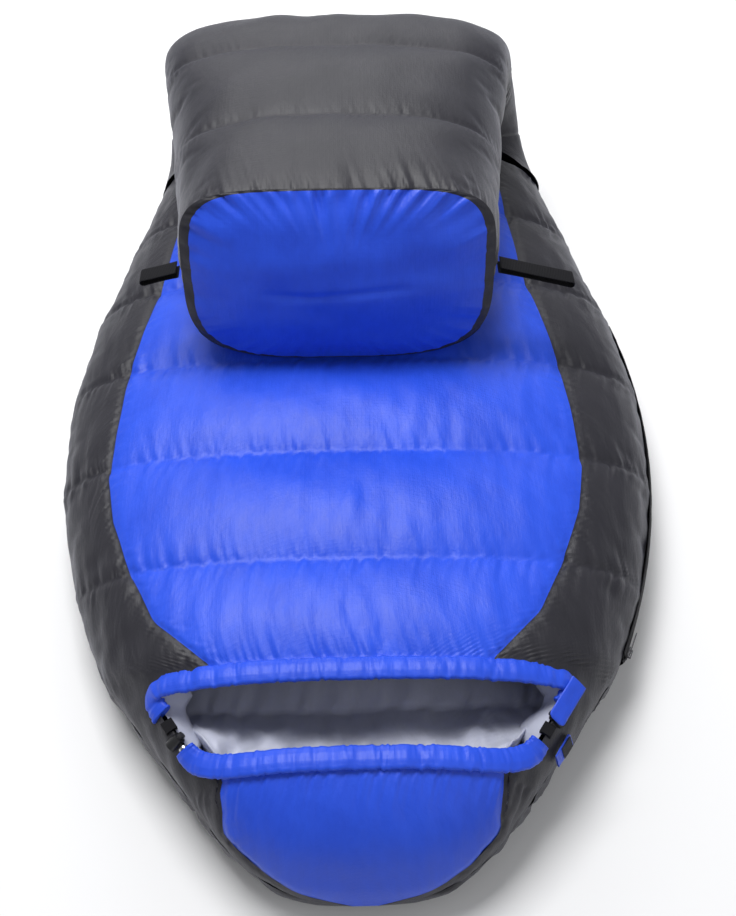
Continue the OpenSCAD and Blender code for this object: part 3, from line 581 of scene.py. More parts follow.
top = nose(top)
openFine = np.repeat(np.repeat(openCells, 2, 0), 2, 1)
top = finer(top)
rowsFine = halves(bodyRows)
acrossTop, alongTop = flatSizes(top)
normals = normalsOf(top)
bump = np.zeros(top.shape[:2])
for k, y in enumerate(bodyMarks[1:]):
    isRim = k < 2
    for side in (-1, 1):
        away = side * (rowsFine[:, None] - y) + 0 * acrossTop
        if isRim and side == (1 if k == 0 else -1):
            continue
        shape = gather(acrossTop, np.abs(away), *gathers["rim" if isRim else "seam"], 20 + 2 * k + side)
        bump += np.where(away >= 0, shape, 0)
for k, c in enumerate((2 * edges[2], 2 * edges[3])):
    away = np.abs(acrossTop - acrossTop[:, [c]])
    bump += gather(alongTop, away, *gathers["edge"], 50 + k)
    bump -= 0.0022 * np.exp(-(away / 0.0065) ** 2)
bump += gathers["crease"] * field(acrossTop, alongTop * 0.5, 0.05, 61)
calm = np.minimum(smooth((rowsFine - bag["crown"]) / 0.03), 1)[:, None]
top = top + normals * (bump * calm)[..., None]
normals = normalsOf(top)

rimFine, neckFine, edgesFine = 2 * rimRow, 2 * neckRow, 2 * edges


# the cells of the top sheet between these rows and columns
def part(rowFrom, rowTo, colFrom, colTo):
    keep = np.zeros((top.shape[0] - 1, top.shape[1] - 1), bool)
    keep[rowFrom:rowTo, colFrom:colTo] = True
    return keep & openFine


left, right = edgesFine[2], edgesFine[3]    # the seams beside the panel
chestPanel, hoodPanel, leftFlank, rightFlank, hoodLeft, hoodRight = [
    gridMesh(name, top, part(*cells), flat=(acrossTop, alongTop), normals=normals)
    for name, *cells in (
        ("chestPanel", neckFine - 2, None, left, right), ("hoodPanel", 0, rimFine + 2, left, right),
        ("leftFlank", rimFine, None, 0, left), ("rightFlank", rimFine, None, right, None),
        ("hoodLeft", 0, rimFine, 0, left), ("hoodRight", 0, rimFine, right, None))]
print("top quilt made")

# the back quilt, on the floor
lower = sheets["low"]["grid"]
lower[..., 2] = np.maximum(lower[..., 2], 0)
lower = nose(lower)
lower = finer(lower)
lower[..., 2] = np.maximum(lower[..., 2], 0)
acrossLow, alongLow = flatSizes(lower)
bump = np.zeros(lower.shape[:2])
for k, y in enumerate(bodyMarks[1:]):
    away = np.abs(rowsFine[:, None] - y) + 0 * acrossLow
    bump += gather(acrossLow, away, *gathers["seam"], 80 + k)
bump += gathers["crease"] * field(acrossLow, alongLow, 0.06, 62)
bump *= smooth(lower[..., 2] / 0.02) * calm
lower = lower + normalsOf(lower) * bump[..., None]
lower[..., 2] = np.maximum(lower[..., 2], 0)
baseQuilt = gridMesh("baseQuilt", lower, flat=(acrossLow, alongLow), normals=normalsOf(lower))
print("back quilt made")

# the folded foot section and the fold
outer = finer(sheets["leg"]["grid"])
acrossLeg, alongLeg = flatSizes(outer)
bump = np.zeros(outer.shape[:2])
for k, row in enumerate(outerAt):
    line = alongLeg[[2 * row]]
    for side in (-1, 1):
        away = side * (alongLeg - line)
        if row == 0:
            shape = gather(acrossLeg, np.abs(away), *gathers["legEnd"], 100)
            shape *= 0.35 + 0.65 * smooth((np.abs(acrossLeg - 0.01) - 0.03) / 0.05)
        else:
            shape = gather(acrossLeg, np.abs(away), *gathers["legSeam"], 100 + 2 * k + side)
        bump += np.where(away >= 0, shape, 0)
bump += 1.6 * gathers["crease"] * field(acrossLeg, alongLeg * 0.6, 0.09, 63)
bump *= smooth((foldSpan - 2 - np.abs(np.linspace(-foldSpan, foldSpan, outer.shape[1]))) / 12)
outer = outer + normalsOf(outer) * bump[..., None]
outer[..., 2] = np.maximum(outer[..., 2], 0)
outerNormals = normalsOf(outer)
legLast = 2 * legAt[-1]
keep = np.zeros((outer.shape[0] - 1, outer.shape[1] - 1), bool)
keep[:legLast] = True
legTop = gridMesh("legTop", outer, keep, flat=(acrossLeg, alongLeg), normals=outerNormals)
kneeFold = gridMesh("kneeFold", outer, ~keep, flat=(acrossLeg, alongLeg), normals=outerNormals)

front = finer(sheets["front"]["grid"])
front[..., 2] = np.maximum(front[..., 2], bag["height"] + 0.0006)
acrossFront, alongFront = flatSizes(front)
frontSpan = np.linspace(foldSpan, 360 - foldSpan, front.shape[1])
toeFrom, toeTo = [int(np.argmin(np.abs(frontSpan - a))) for a in (140, 220)]
keep = np.zeros((front.shape[0] - 1, front.shape[1] - 1), bool)
keep[:, toeFrom:toeTo] = True
flatFront = (acrossFront, alongFront)
legFront = gridMesh("legFront", front, ~keep, flat=flatFront, normals=normalsOf(front))
toePanel = gridMesh("toePanel", front, keep, flat=flatFront, normals=normalsOf(front))

end = finer(sheets["end"]["grid"], wrap=True)
endN = normalsOf(end, wrap=True)
runEnd = runOf(end[0])[None] + 0 * end[..., 0]
ringSteps = np.linalg.norm(np.diff(end, axis=0), axis=2)
inEnd = np.concatenate([np.zeros((1, end.shape[1])), np.cumsum(ringSteps, axis=0)])
upHere = 0.3 + 0.7 * smooth((end[:1, :, 2] - 0.36) / 0.05) + 0 * inEnd
pucker = 0
for wave, seed, height, reach, start in ((0.030, 130, 0.0038, 0.040, 0.010),
                                         (0.013, 131, 0.0016, 0.022, 0.006)):
    fade = np.exp(-(inEnd / reach) ** 2) * smooth((inEnd - 0.002) / start)
    pucker = pucker + upHere * ripple(runEnd, wave, seed) * height * fade
pucker += 0.0012 * field(end[..., 0], 2.2 * end[..., 2], 0.12, 132) * smooth(inEnd / 0.03)
lineZ = end[..., 2] - 0.318 - 0.004 * np.sin(end[..., 0] * 22)
inMiddle = smooth((0.12 - np.abs(end[..., 0] - bag["footShift"])) / 0.06)
pucker -= 0.0022 * np.exp(-(lineZ / 0.006) ** 2) * inMiddle
end = end + endN * pucker[..., None]
tip = end[-1].mean(0)
end = np.concatenate([end, np.repeat(tip[None, None], end.shape[1], 1)])
endNormals = normalsOf(end, wrap=True)
endNormals[-1] = endNormals[-3].mean(0)
band = np.zeros((len(end) - 1, end.shape[1]), bool)
band[:2 * (bandRings - 1)] = True
endFlat = (end[..., 0], end[..., 2])
endPanel = gridMesh("endPanel", end, ~band, wrap=True, flat=endFlat, normals=endNormals)
endBand = gridMesh("endBand", end, band, wrap=True, flat=endFlat, normals=endNormals)
both = [legFront, endBand]
with bpy.context.temp_override(object=legFront, active_object=legFront,
                               selected_objects=both, selected_editable_objects=both):
    bpy.ops.object.join()
print("foot section made")


# rims, drawcords and lining

rim = {"width": 0.0138, "thick": 0.0056, "room": 0.04, "sides": 32, "step": 0.0018}
rimDepth = 0.009
chestRimY, hoodRimY = bag["mouthBack"] - bag["rimInset"], bag["mouthFront"] + bag["rimInset"]
middleY = (chestRimY + hoodRimY) / 2


# the CAD path of a rim, through a smooth curve, with points at even distances
def rimPath(y, toward, turnAngle, turn, step):
    endY = middleY - toward * rim["room"] / 2
    t = np.radians(np.linspace(0, 90, 5))
    corner = [(bag["rimAngle"] - turnAngle * (1 - math.sin(a)), y + toward * turn * (1 - math.cos(a)))
              for a in t]
    inner = (bag["rimAngle"] - turnAngle) * 0.85
    plan = [(-bag["rimAngle"], endY)] + [(-a, b) for a, b in corner[::-1]]
    plan += [(a, y) for a in np.linspace(-inner, inner, 10)] + corner + [(bag["rimAngle"], endY)]
    p = np.array([bodyPoint(np.array([b]), np.array([a]), rimDepth)[0] for a, b in plan])
    return evenPath(p, step)


# a smooth curve through points, cut at even distances
def evenPath(p, step):
    p = np.asarray(p, float)
    pad = np.concatenate([[2 * p[0] - p[1]], p, [2 * p[-1] - p[-2]]])
    t = np.linspace(0, 1, 24, endpoint=False)[:, None]
    out = []
    for a, b, c, d in zip(pad, pad[1:], pad[2:], pad[3:]):
        out.append(0.5 * (2 * b + (c - a) * t + (2 * a - 5 * b + 4 * c - d) * t ** 2
                          + (3 * b - a - 3 * c + d) * t ** 3))
    fine = np.concatenate(out + [p[-1:]])
    run = runOf(fine)
    n = max(3, round(run[-1] / step))
    return np.stack([np.interp(np.linspace(0, run[-1], n + 1), run, fine[:, k]) for k in range(3)], -1)


# direction out of the body at points near its top
def bodyNormal(p):
    s = bodySection(p[:, 1])
    a, b = s[0] - rimDepth, s[3] - s[2] - rimDepth
    n = np.stack([np.sign(p[:, 0]) * (np.abs(p[:, 0]) / a) ** 1.6 / a, 0 * a,
                  (np.maximum(0, p[:, 2] - s[2]) / b) ** 1.6 / b], -1)
    return n / np.linalg.norm(n, axis=1, keepdims=True)


def unit(v):
    return v / np.maximum(1e-9, np.linalg.norm(v, axis=-1, keepdims=True))


# rings round a path; a is the half width along the surface, b the half thickness
def tubeOn(path, normal, a, b, sides, power=2.0):
    t = unit(np.gradient(path, axis=0))
    side = unit(np.cross(t, normal))
    up = np.cross(side, t)
    k = np.radians(360 * np.arange(sides) / sides)
    c, s = np.cos(k), np.sin(k)
    c, s = np.sign(c) * np.abs(c) ** (2 / power), np.sign(s) * np.abs(s) ** (2 / power)
    a, b = np.asarray(a), np.asarray(b)
    a = a if a.ndim == 2 else (a + np.zeros(len(path)))[:, None]
    b = b if b.ndim == 2 else (b + np.zeros(len(path)))[:, None]
    return path[:, None] + (a * c)[..., None] * side[:, None] + (b * s)[..., None] * up[:, None]


# a tube whose two ends close on a point, with softly rounded ends
def capped(grid):
    first, last = grid[0].mean(0), grid[-1].mean(0)
    rows = [first + (grid[0] - first) * k for k in (0.0, 0.55, 0.85)]
    tail = [last + (grid[-1] - last) * k for k in (0.85, 0.55, 0.0)]
    return np.concatenate([rows, grid, tail])


def runAlong(grid):
    n = grid.shape[1]
    around = np.linspace(0, 1, n, endpoint=False) * float(np.linalg.norm(grid[len(grid) // 2] - np.roll(
        grid[len(grid) // 2], 1, 0), axis=1).sum())
    along = runOf(grid.mean(1))
    return around[None] + 0 * along[:, None], along[:, None] + 0 * around[None]


def makeRim(name, y, toward, turnAngle, turn, seed):
    path = rimPath(y, toward, turnAngle, turn, rim["step"])
    n = bodyNormal(path)
    run = np.arange(len(path)) * rim["step"]
    path = path + n * (0.0008 * ripple(run, 0.07, seed))[:, None]
    k = np.radians(360 * np.arange(rim["sides"]) / rim["sides"])[None]
    soft = ripple(run, 0.024, seed + 1)[:, None]
    fold = ripple(run, 0.0095, seed + 2)[:, None]
    edge = ripple(run, 0.014, seed + 3)[:, None]
    patch = smooth(0.5 + 0.8 * ripple(run, 0.06, seed + 4))[:, None]
    fold, edge = fold * patch, edge * (0.35 + 0.65 * patch)
    a = rim["width"] * (1 + 0.05 * edge * np.abs(np.cos(k)) + 0.03 * fold * np.cos(k))
    seam = np.exp(-((np.abs(np.cos(k)) - 0.62) / 0.07) ** 2) * (np.sin(k) > 0)
    swell = 0.10 * soft + 0.12 * fold * np.cos(k + 0.4) + 0.09 * edge * np.cos(2 * k + 0.8)
    b = rim["thick"] * (1 + swell - 0.22 * seam)
    grid = capped(tubeOn(path, n, a, b, rim["sides"], 2.4)[:, ::-1])
    thing = gridMesh(name, grid, wrap=True, flat=runAlong(grid))
    return thing, path


chestRim, chestPath = makeRim("chestRim", chestRimY, -1, 12, 0.020, 201)
hoodRim, hoodPath = makeRim("hoodRim", hoodRimY, 1, 28, 0.023, 211)


# a braided cord along a path
def cordOn(name, path, radius, sides=10):
    path = evenPath(path, 0.002)
    n = bodyNormal(path)
    grid = capped(tubeOn(path, n, radius, radius, sides)[:, ::-1])
    return gridMesh(name, grid, wrap=True, flat=runAlong(grid))


cords = {"freeRun": 0.026, "radius": 0.0015}
neckRun = np.array([[0.4], [1]]) * cords["freeRun"] * unit(hoodPath[-1] - chestPath[-1])
hoodRun = np.array([[1], [0.4]]) * cords["freeRun"] * unit(chestPath[0] - hoodPath[0])
neckCord = cordOn("neckCord", np.concatenate([chestPath[::9], chestPath[-1:] + neckRun]), cords["radius"])
hoodCord = cordOn("hoodCord", np.concatenate([hoodPath[:1] + hoodRun, hoodPath[::9]]), cords["radius"])

# the upper lining: the inside of the chest quilt, of the hood and of the ends of the mouth
inner = {"chest": 0.0566, "hood": 0.0426, "lip": 0.0145, "turn": 0.032, "from": -0.640}
liningMarks = [inner["from"], bag["mouthFront"], bag["mouthBack"], -0.3, 0.15, bag["fold"]]
liningRows, liningAt = rowsThrough(liningMarks, 0.009)
liningRows = np.concatenate([liningRows[:liningAt[3]], np.linspace(-0.3, bag["fold"], 60)])
endCols, acrossCols = 12, 92
holeEnd = mouthEnd(liningRows)
spread = smooth(np.maximum(bag["mouthFront"] - liningRows, liningRows - bag["mouthBack"]) / 0.06)
holeEnd = holeEnd * (1 - spread) + bag["rimAngle"] * spread
aIn = np.array([np.concatenate([np.linspace(-90, -e, endCols + 1), np.linspace(-e, e, acrossCols + 1)[1:-1],
                                np.linspace(e, 90, endCols + 1)]) for e in holeEnd])
yIn = liningRows[:, None] + 0 * aIn
toHole = np.maximum(bag["mouthFront"] - yIn, yIn - bag["mouthBack"])
toEnd = (np.abs(aIn) - mouthEnd(yIn)) / 28 * 0.08
away = np.maximum(0, np.where(toEnd > 0, np.hypot(np.maximum(0, toHole), toEnd), toHole))
deep = np.where(yIn < middleY, inner["hood"], inner["chest"])
deep = deep + (inner["chest"] - deep) * smooth((np.abs(aIn) - 70) / 20)
roll = np.sin(np.minimum(1, away / inner["turn"]) * math.pi / 2) ** 0.8
depthIn = inner["lip"] + (deep - inner["lip"]) * roll
upperLining = bodyPoint(yIn, aIn, depthIn)
xIn = runOf(upperLining[60])[None] + 0 * yIn
waves = 0.0035 * ripple(xIn, 0.05, 301) * np.exp(-away / 0.05) + 0.003 * field(xIn, yIn, 0.08, 302)
waves += 0.0045 * field(xIn, 0.6 * yIn, 0.045, 303) * smooth((np.abs(aIn) - 50) / 10) * np.exp(-away / 0.06)
waves *= smooth(away / 0.008) * smooth((90 - np.abs(aIn)) / 8)
upperLining = upperLining + normalsOf(upperLining) * waves[..., None]
keepIn = np.ones((len(liningRows) - 1, aIn.shape[1] - 1), bool)
keepIn[liningAt[1]:liningAt[2], endCols:-endCols] = False
bodyLining = gridMesh("bodyLining", upperLining[:, ::-1], keepIn[:, ::-1], flat=(xIn, yIn))

# the floor lining, seen through the mouth: quilted on the same seams, with loose folds
floorMarks = [inner["from"], bag["mouthFront"] + 0.02, bag["seams"][0] - 0.005, -0.324]
floorRows = rowsThrough(floorMarks, 0.006)[0]
floorRows = np.concatenate([floorRows, np.linspace(-0.324, bag["fold"], 50)[1:]])
floorAngles = even(lambda a: bodyPoint(np.full_like(a, -0.5), a, inner["chest"]),
                   [90.001, 150, 210, 269.999], (28, 56, 28))
yFloor = floorRows[:, None] + 0 * floorAngles[None]
floorLining = bodyPoint(yFloor, floorAngles[None] + 0 * yFloor, inner["chest"])
acrossFloor, alongFloor = flatSizes(floorLining)
rise = np.zeros(yFloor.shape)
for a, b in zip(floorMarks, floorMarks[1:]):
    t = np.clip((yFloor - a) / (b - a), 0, 1)
    inside = (yFloor >= a) & (yFloor <= b)
    rise += np.where(inside, 0.010 * np.sin(math.pi * t) ** 0.7, 0)
    toSeam = np.minimum(np.abs(yFloor - a), np.abs(b - yFloor))
    soft = gather(acrossFloor, toSeam, *gathers["lining"], 320 + int(a * -100))
    rise += np.where(inside, soft, 0)
ends = smooth((np.abs(acrossFloor + 0.01) - 0.08) / 0.10)
nearMouth = np.exp(-((yFloor + 0.545) / np.where(yFloor < -0.545, 0.034, 0.055)) ** 2)
rise += 0.004 * field(acrossFloor, 0.45 * alongFloor, 0.10, 331) * smooth((yFloor + 0.64) / 0.04)
folds = np.abs(field(acrossFloor + 0.35 * alongFloor, 0.5 * alongFloor, 0.10, 332))
folds += 0.6 * np.abs(field(acrossFloor - 0.5 * alongFloor, 0.6 * alongFloor, 0.05, 333))
looseFolds = (0.35 + 0.65 * ends) * 0.024 * (0.8 - np.minimum(1.3, folds))
rise += nearMouth * (0.046 + 0.024 * ends + looseFolds)
edgeFade = smooth((np.minimum(floorAngles - 90, 270 - floorAngles)) / 16)[None]
floorLining[..., 2] += np.maximum(-0.002, rise * edgeFade)
floorPiece = gridMesh("floorLining", floorLining[:, ::-1], flat=(acrossFloor, alongFloor))

# the draught collar: a soft tube just inside the chest rim, in a darker navy copy of the grey lining that
# paints the shade under the rim
collar = {"behindMouth": 0.034, "depth": 0.0706, "halfWidth": 0.022, "halfThick": 0.0108, "step": 0.005,
          "sides": 24}
collarAngles = np.linspace(-86, 86, 120)
collarY = np.full_like(collarAngles, bag["mouthBack"] + collar["behindMouth"])
collarPath = evenPath(bodyPoint(collarY, collarAngles, collar["depth"]), collar["step"])
run = np.arange(len(collarPath)) * collar["step"]
k = np.radians(360 / collar["sides"] * np.arange(collar["sides"]))[None]
squeeze = 1 + 0.09 * ripple(run, 0.03, 341)[:, None] + 0.06 * ripple(run, 0.013, 342)[:, None] * np.cos(k)
grid = capped(tubeOn(collarPath, unit(collarPath * [1, 0, 1] - [0, 0, bag["side"]]),
                     collar["halfWidth"] * squeeze, collar["halfThick"] * squeeze, collar["sides"])[:, ::-1])
neckCollar = gridMesh("neckCollar", grid, wrap=True, flat=runAlong(grid))
print("rims and lining made")


# zip, tabs, loops

def arcPoints(radius, z, degrees):
    a = np.radians(degrees)
    return np.stack([arcX + radius * np.cos(a), bag["widest"] + radius * np.sin(a),
                     bag["side"] + z + 0 * a], -1)


zipper = {"from": -26, "to": 11, "radius": 0.9032, "tooth": 0.0021}
turns = np.linspace(zipper["from"], zipper["to"], 240)


# a zip tape: from the coil out to its sewn edge on the shell, with a rolled hem line
def tape(name, sign):
    profile = [(0.0003, 0.0026), (0.0005, 0.0045), (0.0005, 0.0088), (-0.0002, 0.0102), (-0.0018, 0.0145),
               (-0.0023, 0.0160), (-0.0028, 0.0172), (-0.0038, 0.0174), (-0.0036, 0.0150), (-0.0014, 0.0098),
               (-0.0005, 0.0084), (-0.0004, 0.0028)]
    grid = np.stack([arcPoints(zipper["radius"] + r, sign * z, turns) for r, z in profile], 1)
    grid[..., 2] += 0.0004 * ripple(np.radians(turns) * bag["arcRadius"], 0.05, 400)[:, None]
    grid = grid if sign > 0 else grid[:, ::-1]
    return gridMesh(name, grid, wrap=True, flat=runAlong(grid))


tapeUpper, tapeLower = tape("zipTapeUpper", 1), tape("zipTapeLower", -1)


# many small blocks with chamfered outer faces, as one mesh
def boxes(name, centres, across, along, up, sizes, taper=0.8):
    corner = np.array([[-1, -1, -1], [1, -1, -1], [1, 1, -1], [-1, 1, -1],
                       [-taper, -taper, 1], [taper, -taper, 1], [taper, taper, 1], [-taper, taper, 1]]) / 2
    local = corner * sizes
    points = centres[:, None] + (local[None, :, :1] * across[:, None] + local[None, :, 1:2] * along[:, None]
                                 + local[None, :, 2:] * up[:, None])
    faces = np.array([[0, 3, 2, 1], [4, 5, 6, 7], [0, 1, 5, 4], [1, 2, 6, 5], [2, 3, 7, 6], [3, 0, 4, 7]])
    allFaces = (faces[None] + 8 * np.arange(len(centres))[:, None, None]).reshape(-1, 4)
    mesh = bpy.data.meshes.new(name)
    mesh.from_pydata(points.reshape(-1, 3).tolist(), [], allFaces.tolist())
    return placed(name, mesh)


def coil(name, sign):
    step = math.degrees(zipper["tooth"] / zipper["radius"])
    at = np.arange(zipper["from"] + 0.2, zipper["to"] - 0.2, step) + (step / 2 if sign > 0 else 0)
    a = np.radians(at)
    out = np.stack([np.cos(a), np.sin(a), 0 * a], -1)
    along = np.stack([-np.sin(a), np.cos(a), 0 * a], -1)
    up = np.tile([0.0, 0, 1], (len(a), 1))
    centre = arcPoints(zipper["radius"], sign * 0.00137, at)
    return boxes(name, centre, out, along, up * sign, np.array([0.0024, 0.0014, 0.0026]), 0.7)


coilUpper, coilLower = coil("zipCoilUpper", 1), coil("zipCoilLower", -1)
tubeTurns = np.linspace(zipper["from"] + 3, zipper["to"], 130)
tubeArc, tubeRadius = bag["arcRadius"] - 0.085, 0.0128
tubePath = arcPoints(tubeArc, 0.015, tubeTurns)
tubeRun = np.radians(tubeTurns) * tubeArc
out = unit(tubePath - [arcX, bag["widest"], tubePath[0, 2]])
grid = capped(tubeOn(tubePath, out, tubeRadius * (1 + 0.05 * ripple(tubeRun, 0.02, 401)),
                     tubeRadius * (1 + 0.05 * ripple(tubeRun, 0.025, 402)), 20)[:, ::-1])
draughtTube = gridMesh("draughtTube", grid, wrap=True, flat=runAlong(grid))


# a flat strap with rounded edges that follows a line; across is its width direction at each point
def strap(name, line, across, width, thick):
    line = np.asarray(line, float)
    across = unit(np.asarray(across, float) + np.zeros_like(line))
    t = unit(np.gradient(line, axis=0))
    up = unit(np.cross(across, t))
    k = np.radians(np.arange(0, 360, 20))
    c, s = np.cos(k), np.sin(k)
    c, s = np.sign(c) * np.abs(c) ** 0.35, np.sign(s) * np.abs(s) ** 0.8
    width = np.asarray(width) + np.zeros(len(line))
    grid = line[:, None] + (width[:, None] / 2 * c)[..., None] * across[:, None]
    grid = capped(grid + (thick / 2 * s)[None, :, None] * up[:, None])
    a = (c * float(width.max()) / 2)[None] + np.zeros(len(grid))[:, None]
    b = runOf(grid.mean(1))[:, None] + 0 * a
    return gridMesh(name, grid, wrap=True, flat=(a, b))


# hang loops: folded webbing, out along the top layer, round the end and back
loops = {"right": 0.1, "left": 0.045, "width": 0.0235, "thick": 0.0016, "core": 0.0035, "droop": 16,
         "root": (0.21778, 0.05325, 0.31849)}


def hangLoop(name, side, reach):
    r = loops["core"] + loops["thick"] / 2
    t = np.linspace(0, 1, 26)
    sag = 0.0012 * np.sin(t * math.pi)
    over = np.stack([-0.004 + (reach + 0.004) * t, r - sag * 0.4], -1)
    a = np.radians(np.linspace(80, -80, 12))
    nose = np.stack([reach + r * np.cos(a), r * np.sin(a)], -1)
    back = np.stack([reach - (reach + 0.004) * t, -r + sag * 0.5], -1)
    line = np.concatenate([over, nose, back])
    d = math.radians(loops["droop"])
    x = line[:, 0] * math.cos(d) + line[:, 1] * math.sin(d)
    z = -line[:, 0] * math.sin(d) + line[:, 1] * math.cos(d)
    rootX, rootY, rootZ = loops["root"]
    p = np.stack([bag["footShift"] + side * (rootX + x), rootY + 0 * x, rootZ + z], -1)
    return strap(name, p, [0, -side, 0], loops["width"], loops["thick"])


rightLoop, leftLoop = hangLoop("rightLoop", 1, loops["right"]), hangLoop("leftLoop", -1, loops["left"])


# a soft flat flap: rounded corners, a turned hem round its edge and a slight curl
def slab(name, origin, x, y, z, width, length, thick, seed, rows=26, cols=12, corner=0.005):
    u = np.linspace(-1, 1, cols)
    v = np.linspace(0, 1, rows)
    uu, vv = np.meshgrid(u, v)
    along = vv * length
    toEdge = np.minimum(length - along, corner)
    half = width / 2 - (corner - np.sqrt(np.maximum(0, corner ** 2 - (corner - toEdge) ** 2)))
    across = uu * half
    curl = 0.0004 * field(across, along, 0.02, seed)
    edge = np.minimum(np.minimum(width / 2 - np.abs(across), length - along), along + 0.02)
    hem = 0.0003 * np.exp(-((edge - 0.003) / 0.0012) ** 2)
    faces = []
    for sign in (1, -1):
        height = curl + sign * (thick / 2 * np.minimum(1, (edge / 0.0009) ** 0.5 * 0.6 + 0.4) - hem)
        faces.append(origin + across[..., None] * x + along[..., None] * y + height[..., None] * z)
    upper, under = faces
    ring = np.concatenate([upper, under[:, ::-1]], 1)
    ring = np.concatenate([ring, np.repeat(ring[-1:].mean(1, keepdims=True), ring.shape[1], 1)])
    a = np.concatenate([across, across[:, ::-1]], 1)
    b = np.concatenate([along, along[:, ::-1]], 1)
    a, b = np.concatenate([a, a[-1:]]), np.concatenate([b, np.full((1, 2 * cols), length)])
    return gridMesh(name, ring, wrap=True, flat=(a, b))


flaps = {"width": 0.023, "thick": 0.002, "upper": 0.056, "lower": 0.034}
ux, uy, uz = np.array([[0.68986, -0.44735, -0.56919], [0.58627, 0.80648, 0.07671],
                       [0.42472, -0.38661, 0.81862]])
upperAt = np.array([0.249381, -0.4734, 0.151999]) + uz * 0.0028
upperTab = slab("upperTab", upperAt, ux, -uy, uz, flaps["width"], flaps["upper"], flaps["thick"], 501)
lx = np.array([0.28434, -0.2067, -0.93617])
ly = unit(np.array([-0.586266, -0.806479, 0.0]))
lz = np.cross(lx, ly)
lz = lz if lz[0] > 0 else -lz
lowerAt = np.array([0.218027, -0.5486, 0.108437]) + lz * 0.0038
cadLower = [np.array(v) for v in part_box("lower_tab")]
lowerSide = -ly if np.dot((cadLower[0] + cadLower[1]) / 2 - lowerAt, -ly) > 0 else ly
lowerTab = slab("lowerTab", lowerAt, lx, lowerSide, lz, flaps["width"], flaps["lower"], flaps["thick"], 511)
print("zip, flaps and loops made")


# materials

# an output of a node; sums and products of wires add the Math nodes
class Wire:
    def __init__(self, tree, socket):
        self.tree, self.socket = tree, socket

    def math(self, kind, other=None, flip=False):
        first, second = (other, self) if flip else (self, other)
        values = [v for v in (first, second) if v is not None]
        return self.tree.add("ShaderNodeMath", {"operation": kind}, values)

    def __add__(self, other): return self.math("ADD", other)
    def __radd__(self, other): return self.math("ADD", other, True)
    def __sub__(self, other): return self.math("SUBTRACT", other)
    def __rsub__(self, other): return self.math("SUBTRACT", other, True)
    def __mul__(self, other): return self.math("MULTIPLY", other)
    def __rmul__(self, other): return self.math("MULTIPLY", other, True)
    def __pow__(self, other): return self.math("POWER", other)


# the node tree of one material
class Tree:
    def __init__(self, name):
        self.material = bpy.data.materials.new(name)
        self.material.use_nodes = True
        self.nodes, self.links = self.material.node_tree.nodes, self.material.node_tree.links
        self.nodes.clear()

    # any node: its settings first, then the values or wires of its inputs, by number or by name
    def add(self, kind, settings=None, inputs=None, out=0):
        node = self.nodes.new(kind)
        for key, value in (settings or {}).items():
            if key == "stops":
                ramp = node.color_ramp
                while len(ramp.elements) < len(value):
                    ramp.elements.new(0.5)
                for e, (at, tone) in zip(ramp.elements, value):
                    e.position, e.color = at, (*([tone] * 3 if np.isscalar(tone) else tone), 1)
            else:
                setattr(node, key, value)
        pairs = inputs.items() if isinstance(inputs, dict) else enumerate(inputs or [])
        for key, value in pairs:
            if isinstance(value, Wire):
                self.links.new(value.socket, node.inputs[key])
            else:
                node.inputs[key].default_value = value
        return Wire(self, node.outputs[out]) if len(node.outputs) else None

    # colour a where the mask is 0 and b where it is 1
    def blend(self, mask, a, b):
        value = [v if isinstance(v, Wire) else (*v, 1) for v in (a, b)]
        return self.add("ShaderNodeMix", {"data_type": "RGBA"}, {0: mask, 6: value[0], 7: value[1]}, out=2)

    # the sheet's own flat coordinates, in metres
    def place(self):
        return self.add("ShaderNodeAttribute", {"attribute_name": "cloth"}, out=1)

    def scaled(self, vector, size):
        return self.add("ShaderNodeVectorMath", {"operation": "MULTIPLY"}, [vector, size])

    def noise(self, vector, scale, detail=2.0, rough=0.5):
        inputs = {"Vector": vector, "Scale": scale, "Detail": detail, "Roughness": rough}
        return self.add("ShaderNodeTexNoise", {}, inputs)

    def split(self, vector, k):
        return self.add("ShaderNodeSeparateXYZ", {}, [vector], out=k)

    # 0 to 1 and back, so many times a metre
    def wave(self, value, perMetre):
        return (value * (perMetre * 2 * math.pi)).math("SINE") * 0.5 + 0.5

    def bump(self, height, distance, strength=1.0, normal=None):
        inputs = {"Height": height, "Distance": distance, "Strength": strength}
        if normal is not None:
            inputs["Normal"] = normal
        return self.add("ShaderNodeBump", {}, inputs)

    def finish(self, **inputs):
        named = {k.replace("_", " "): (*v, 1) if isinstance(v, tuple) and len(v) == 3 else v
                 for k, v in inputs.items()}
        shader = self.add("ShaderNodeBsdfPrincipled", {}, named)
        self.add("ShaderNodeOutputMaterial", {}, {0: shader})
        return self.material


finishes = {
    "blueShell": {"deep": (0.011, 0.054, 0.54), "light": (0.023, 0.098, 0.80), "rough": 0.44, "sheen": 0.12,
                  "tint": (0.4, 0.6, 1.0), "crinkle": 0.9, "grid": 190, "shine": 0.36},
    "charcoalShell": {"deep": (0.011, 0.011, 0.016), "light": (0.025, 0.024, 0.032), "rough": 0.50,
                      "sheen": 0.12, "tint": (0.8, 0.82, 1.0), "crinkle": 1.0, "grid": 190, "shine": 0.38},
    # a darker navy copy of the grey lining: painted shade for the collar, which lies in the shadow under the
    # chest rim
    "paintedShadeLining": {"deep": (0.13, 0.14, 0.22), "light": (0.22, 0.24, 0.35), "rough": 0.5, "sheen": 0.05,
                     "tint": (0.85, 0.9, 1.0), "crinkle": 1.1, "grid": 0, "shine": 0.25},
    "greyLining": {"deep": (0.42, 0.44, 0.54), "light": (0.60, 0.62, 0.72), "rough": 0.46, "sheen": 0.1,
                   "tint": (0.85, 0.9, 1.0), "crinkle": 1.1, "grid": 0, "shine": 0.35},
}


